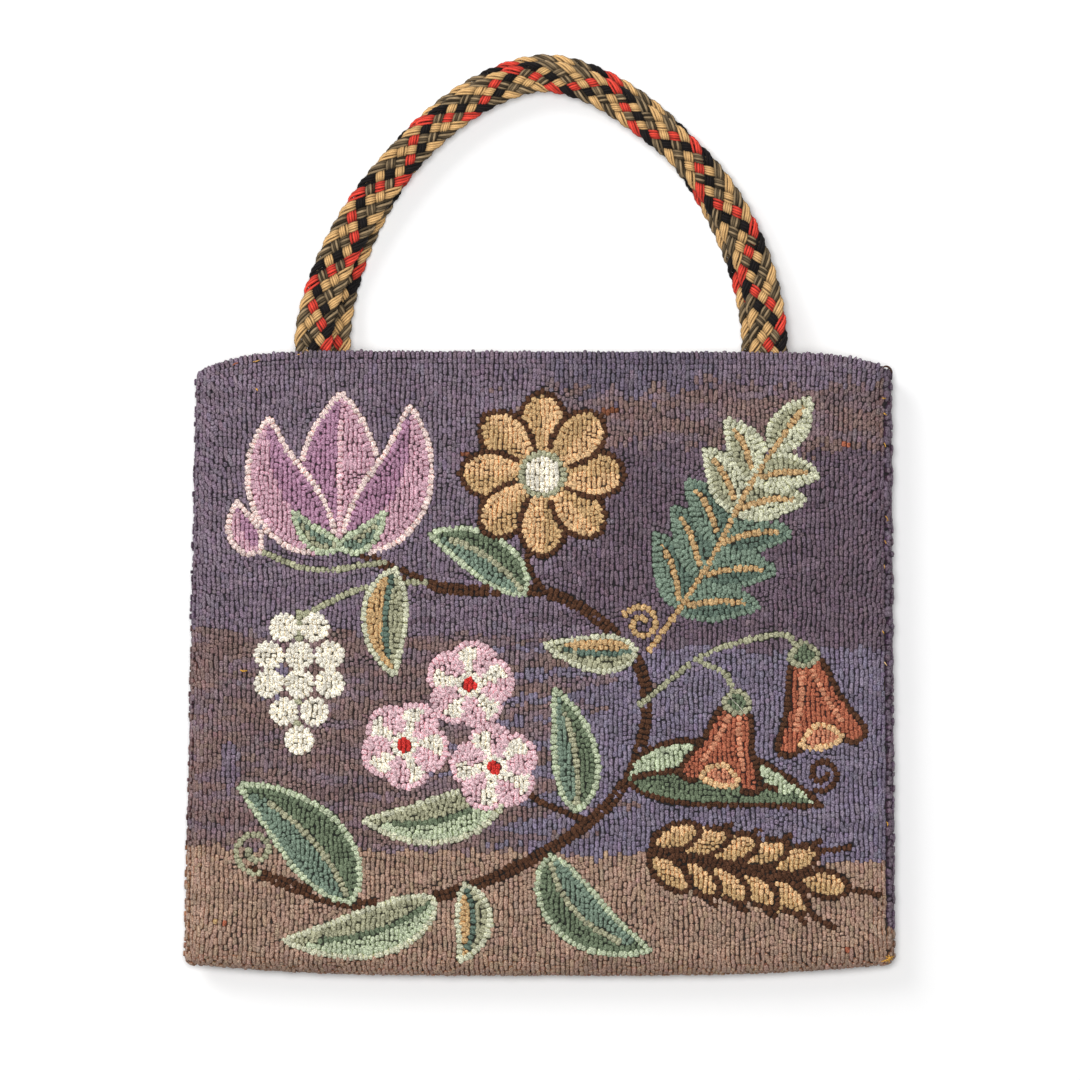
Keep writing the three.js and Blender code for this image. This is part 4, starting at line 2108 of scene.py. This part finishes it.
    def spun(self, dye: Dye, yarn: int, travel: Array, rng: Rng) -> Array:
        """How light one yarn is along its length; grey strands are of light and dark yarns.

        Args:
            dye: The yarn's dye.
            yarn: Its number in the strand.
            travel: Places along the handle.
            rng: Source of small differences.

        Returns:
            A factor for the dye at each place.
        """
        grey = dye is Dye.PLAIT_GREY
        first, second = rng.uniform(0.0, math.tau, 2)
        long_wave, short_wave = self.wave_lengths
        waves = np.sin(travel / long_wave + first) + np.sin(travel / short_wave + second)
        shade = self.grey_shades[yarn % 2] if grey else rng.normal(0.0, self.shade_spread)
        return np.clip(1.0 + shade + self.wave_depths[grey] * waves, *self.tone_limits)

    def wrapping(self, rings: int, yarns: int) -> Arrays:
        """Faces of all yarns, with their places on the bake map: a strip for each yarn.

        Args:
            rings: Rings along a yarn.
            yarns: How many yarns there are.

        Returns:
            Wall quads, end caps, and the map's places of both.
        """
        sides, length, margin = self.sides, 0.97, 0.05
        cap_radii, cap_middle, second_cap = (0.01, 0.08), (0.985, 0.2), 0.5
        quads, ring, side = tube_quads(rings, sides)
        low = np.arange(yarns)[:, None, None] * rings * sides
        faces = (low + quads[None]).reshape(-1, 4)
        start = np.arange(sides)
        caps = (low + np.stack([start[::-1], (rings - 1) * sides + start])[None]).reshape(-1, sides)
        strip = np.arange(yarns)[:, None, None]
        run = np.stack([ring, ring, ring + 1, ring + 1], 1)[None]
        lap = np.stack([side, side + 1, side + 1, side], 1)[None]
        along = run / (rings - 1) * length + 0 * strip
        around = (strip + margin + (1 - 2 * margin) * lap / sides) / yarns
        wall_map = np.stack([along.ravel(), around.ravel()], 1)
        spot = ring_points(sides) * cap_radii + cap_middle
        ends = np.stack([spot + [0.0, margin], spot[::-1] + [0.0, second_cap]])[None]
        cap_map = np.stack([ends[..., 0] + 0 * strip, (strip + ends[..., 1]) / yarns], 3)
        return faces, caps, np.vstack([wall_map, cap_map.reshape(-1, 2)])


@dataclass(frozen=True)
class LooseEnd:
    """A loose end of fibre: spots that it passes, seen from above, its dye, height and radius."""

    knots: tuple[Pair, ...]
    dye: Dye
    lift: float = 0.5
    radius: float = 0.26


@dataclass
class LooseEnds:
    """Bits of jute and thread that stick out between the loops, mostly along the right seam."""

    face: PanelFace
    ends: tuple[LooseEnd, ...] = (
        LooseEnd(((136.4, 46.6), (137.3, 46.2), (138.0, 46.5)), Dye.STRAW),
        LooseEnd(((137.0, 40.6), (137.7, 40.0), (138.4, 39.6)), Dye.STRAW),
        LooseEnd(((137.2, 28.6), (137.7, 27.8), (137.9, 26.8)), Dye.STRAW),
        LooseEnd(((137.4, -58.8), (138.0, -59.8), (138.6, -60.4)), Dye.TAN),
        LooseEnd(((138.2, -122.6), (138.8, -123.4), (138.7, -124.4)), Dye.STRAW),
        LooseEnd(((-119.6, -62.0), (-118.2, -62.5), (-116.6, -62.2)), Dye.STRAW, 0.4, 0.36),
        LooseEnd(((-113.2, 50.2), (-112.7, 49.7), (-112.5, 49.2)), Dye.STRAW, 0.2, 0.4),
        LooseEnd(((-122.6, 59.4), (-121.4, 60.2), (-120.2, 60.4)), Dye.RUST, 0.3, 0.3),
        LooseEnd(((-114.4, 60.8), (-113.0, 61.0), (-111.6, 61.5)), Dye.JUTE, 0.3, 0.28),
        LooseEnd(((-96.8, 63.6), (-95.4, 63.8), (-94.4, 64.4)), Dye.JUTE, 0.3, 0.26),
        LooseEnd(((136.2, -178.6), (138.0, -178.0), (139.6, -177.4), (141.6, -176.4)), Dye.STRAW, 1.2),
        LooseEnd(((138.0, -176.4), (139.6, -177.4), (141.0, -178.0)), Dye.STRAW, 1.4),
        LooseEnd(((139.2, -175.8), (139.6, -177.4), (139.3, -179.2)), Dye.STRAW, 1.3),
        LooseEnd(((140.6, -176.2), (139.6, -177.4), (138.0, -178.8)), Dye.STRAW, 1.3),
        LooseEnd(((136.8, 58.7), (138.3, 59.1), (139.9, 58.2), (140.9, 56.5)), Dye.BARK, 0.4, 0.45),
        LooseEnd(((137.8, -0.6), (138.5, -1.4), (138.9, -2.4)), Dye.STRAW, 0.4, 0.22),
        LooseEnd(((138.3, -2.8), (138.8, -2.2), (139.4, -2.4)), Dye.JUTE, 0.4, 0.24),
        LooseEnd(((137.5, -10.4), (137.9, -11.0), (138.1, -11.8)), Dye.STRAW, 0.3, 0.22),
        LooseEnd(((137.2, -20.0), (137.5, -20.8), (137.5, -21.6)), Dye.JUTE, 0.3, 0.24),
        LooseEnd(((136.6, -46.4), (137.0, -47.0), (137.2, -47.8)), Dye.STRAW, 0.3, 0.26),
        LooseEnd(((74.6, -70.8), (76.6, -73.8), (79.4, -76.6), (82.4, -80.2)), Dye.CREAM, 0.5, 0.09),
    )
    sides: int = 5
    step: float = 0.5
    foot_lift: float = 0.3
    taper: float = 0.5

    def build(self, wool: Material) -> None:
        """Makes all loose ends as one piece.

        Args:
            wool: The fibre's finish.
        """
        circle = ring_points(self.sides)
        points, dyes, quads, caps, low = [], [], [], [], 0
        for end in self.ends:
            line = spaced(smooth_line(list(end.knots)), self.step)
            share = np.linspace(0.0, 1.0, len(line))
            level = self.face.at(*self.face.cloth_place(line).T)[:, 2]
            height = level + end.lift * (self.foot_lift + np.sin(math.pi * share))
            path = np.hstack([line, height[:, None]])
            ahead = unit(np.gradient(path, axis=0))
            side = unit(np.cross([0.0, 0.0, 1.0], ahead))
            top = np.cross(ahead, side)
            thick = end.radius * (1 - self.taper * np.abs(2 * share - 1) ** 3)[:, None, None]
            ring = side[:, None] * circle[None, :, :1] + top[:, None] * circle[None, :, 1:]
            points.append((path[:, None] + thick * ring).reshape(-1, 3))
            dyes.append(np.tile(end.dye.light, (len(path) * self.sides, 1)))
            quads.append(low + tube_quads(len(path), self.sides)[0])
            last = low + (len(path) - 1) * self.sides
            caps += [low + np.arange(self.sides)[::-1], last + np.arange(self.sides)]
            low += len(path) * self.sides
        faces = [np.vstack(quads), np.array(caps)]
        piece = make_piece("loose_ends", np.vstack(points), faces, wool, np.vstack(dyes))
        settle(piece, "front_panel")


@dataclass(frozen=True)
class Lamp:
    """A square soft light that faces the bag: its place and side in metres, its power in watts."""

    name: str
    place: Spot
    size: float
    power: float
    aim: Spot = (0.0, -0.02, 0.0)

    def hang(self) -> None:
        """Hangs the light in the scene."""
        light = bpy.data.lights.new(self.name, "AREA")
        light.size = self.size
        light.energy = self.power
        lamp = bpy.data.objects.new(self.name, light)
        lamp.location = self.place
        lamp.rotation_mode = "QUATERNION"
        lamp.rotation_quaternion = (Vector(self.aim) - Vector(self.place)).to_track_quat("-Z", "Y")
        bpy.context.scene.collection.objects.link(lamp)


@dataclass
class Studio:
    """White floor, soft light from the upper left and a camera straight above."""

    camera_height: float = 3000.0
    view_field: float = 432.0
    view_level: float = 8.0
    view_middle: Pair = (0.0, -10.2)
    sensor: float = 36.0
    floor_size: float = 6000.0
    air_light: float = 0.18
    lamps: tuple[Lamp, ...] = (
        Lamp("key_light", (-1.25, 1.3, 1.1), 1.2, 26.0),
        Lamp("top_light", (-0.1, 0.15, 2.4), 1.0, 50.0),
    )

    def build(self) -> None:
        """Sets up floor, lights, surrounding light and camera."""
        scene = bpy.context.scene
        scene.view_settings.view_transform = "Standard"
        signs = np.array([[-1, -1, 0], [1, -1, 0], [1, 1, 0], [-1, 1, 0]])
        corners = signs * self.floor_size / 2
        paper = FloorFinish("studio_paper").material()
        floor = make_piece("floor", corners, [np.array([[0, 1, 2, 3]])], paper)
        for lamp in self.lamps:
            lamp.hang()
        world = bpy.data.worlds.new("studio_air")
        world.use_nodes = True
        air = world.node_tree.nodes["Background"].inputs
        air["Color"].default_value = (1.0, 1.0, 1.0, 1.0)
        air["Strength"].default_value = self.air_light
        scene.world = world
        lens = bpy.data.cameras.new("camera")
        lens.sensor_width = self.sensor
        lens.lens = self.sensor * (self.camera_height - self.view_level) / self.view_field
        camera = bpy.data.objects.new("camera", lens)
        camera.location = (self.view_middle[0] * MM, self.view_middle[1] * MM, self.camera_height * MM)
        scene.collection.objects.link(camera)
        scene.camera = camera
        LOG.info("studio: lens %.0f mm", lens.lens)


FRONT_GROUND = GroundDyes(
    (
        DyeBand(80.0, -49.0, -1, Dye.PLUM_GREY),
        DyeBand(-49.0, -135.6, -1, Dye.MAUVE_BROWN),
        DyeBand(80.0, 54.0, 1, Dye.PLUM_GREY),
        DyeBand(54.0, 28.5, 1, Dye.MAUVE_BROWN),
        DyeBand(28.5, -52.0, 1, Dye.PLUM_DARK),
        DyeBand(-52.0, -135.6, 1, Dye.PLUM_BLUE),
    ),
    (
        DyeSpot((36.0, 60.0), (34.0, 12.0), Dye.PLUM_SLATE),
        DyeSpot((-105.0, -67.0), (5.0, 8.0), Dye.PLUM_BLUE),
        DyeSpot((-124.0, -100.0), (4.0, 9.0), Dye.PLUM_GREY),
        DyeSpot((27.0, 40.4), (5.6, 1.2), Dye.UMBER),
        DyeSpot((-26.0, 24.0), (4.0, 1.1), Dye.UMBER),
    ),
    (
        ((121.0, 27.8), Dye.RUST),
        ((123.4, 27.4), Dye.RUST),
        ((122.0, -173.0), Dye.RUST),
        ((-130.4, -163.0), Dye.OCHRE),
        ((-124.8, -163.0), Dye.RUST),
        ((-71.2, -167.0), Dye.OCHRE),
    ),
)
BACK_GROUND = GroundDyes(tuple(DyeBand(80.0, -162.0, side, Dye.PLUM_GREY) for side in (-1, 1)))


def hooked_panels(form: BagForm) -> tuple[HookedPanel, ...]:
    """The front panel with its picture and the plain back panel, whose right seam shows.

    Args:
        form: The bag's form.

    Returns:
        The front and the back panel.
    """
    front_face, back_face = PanelFace(form, Facing.FRONT), PanelFace(form, Facing.BACK)
    front = HookedPanel(
        name="front",
        node="front_panel",
        slot="front_wool",
        face=front_face,
        shape=FINE_LOOP,
        parts=3,
        seed=11,
        ground=FRONT_GROUND,
        seam=SeamStitches(place=-front_face.flat - 10.9, pitch=2.5),
        picture=MeadowPicture(),
    )
    right_seam = SeamStitches(
        place=back_face.flat + 21.2,
        pitch=2.3,
        half_width=1.85,
        swells=(0.5, 0.65),
        fill=1.12,
        rows_apart=3.4,
    )
    back = HookedPanel(
        name="back",
        node="back_panel",
        slot="back_wool",
        face=back_face,
        shape=PLAIN_LOOP,
        parts=2,
        seed=23,
        ground=BACK_GROUND,
        seam=right_seam,
        level=-0.35,
        cloth_cells=(70, 60),
    )
    return front, back


def plaited_handles(form: BagForm) -> tuple[PlaitedHandle, ...]:
    """The front handle, which lies on top, and the back one under it.

    Args:
        form: The bag's form.

    Returns:
        The front and the back handle.
    """
    red, black, grey, tan = Dye.PLAIT_RED, Dye.PLAIT_BLACK, Dye.PLAIT_GREY, Dye.PLAIT_TAN
    front = PlaitedHandle(
        name="front_plait",
        node="front_handle",
        form=form,
        layer=1,
        middle=0.4,
        half_span=90.8,
        left_power=1.6,
        right_power=1.78,
        below=2.8,
        first_red=47.7,
        repeat=38.9,
        strands=(red, black, grey, tan, grey, tan),
        lean=1.8,
    )
    back = PlaitedHandle(
        name="back_plait",
        node="back_handle",
        form=form,
        layer=0,
        middle=2.4,
        half_span=85.8,
        left_power=1.74,
        right_power=1.74,
        below=0.0,
        first_red=0.25,
        repeat=40.4,
        strands=(red, tan, grey, tan, grey, black),
    )
    return front, back


def main() -> None:
    """Builds the studio and the purse, piece by piece."""
    logging.basicConfig(level=logging.INFO, format="%(name)s: %(message)s")
    Studio().build()
    form = BagForm()
    hooked = WoolFinish("hooked_wool").material()
    plait_finish = WoolFinish("plaited_wool", fibre=0.28, mottle=0.4, roughness=0.7, sheen=0.05, gloss=0.1)
    plaited = plait_finish.material()
    jute = JuteFinish("jute_cloth").material()
    panels = hooked_panels(form)
    for panel in panels:
        panel.build(hooked, jute)
    LooseEnds(panels[0].face).build(hooked)
    for handle in plaited_handles(form):
        handle.build(plaited)


if __name__ == "__main__":
    main()
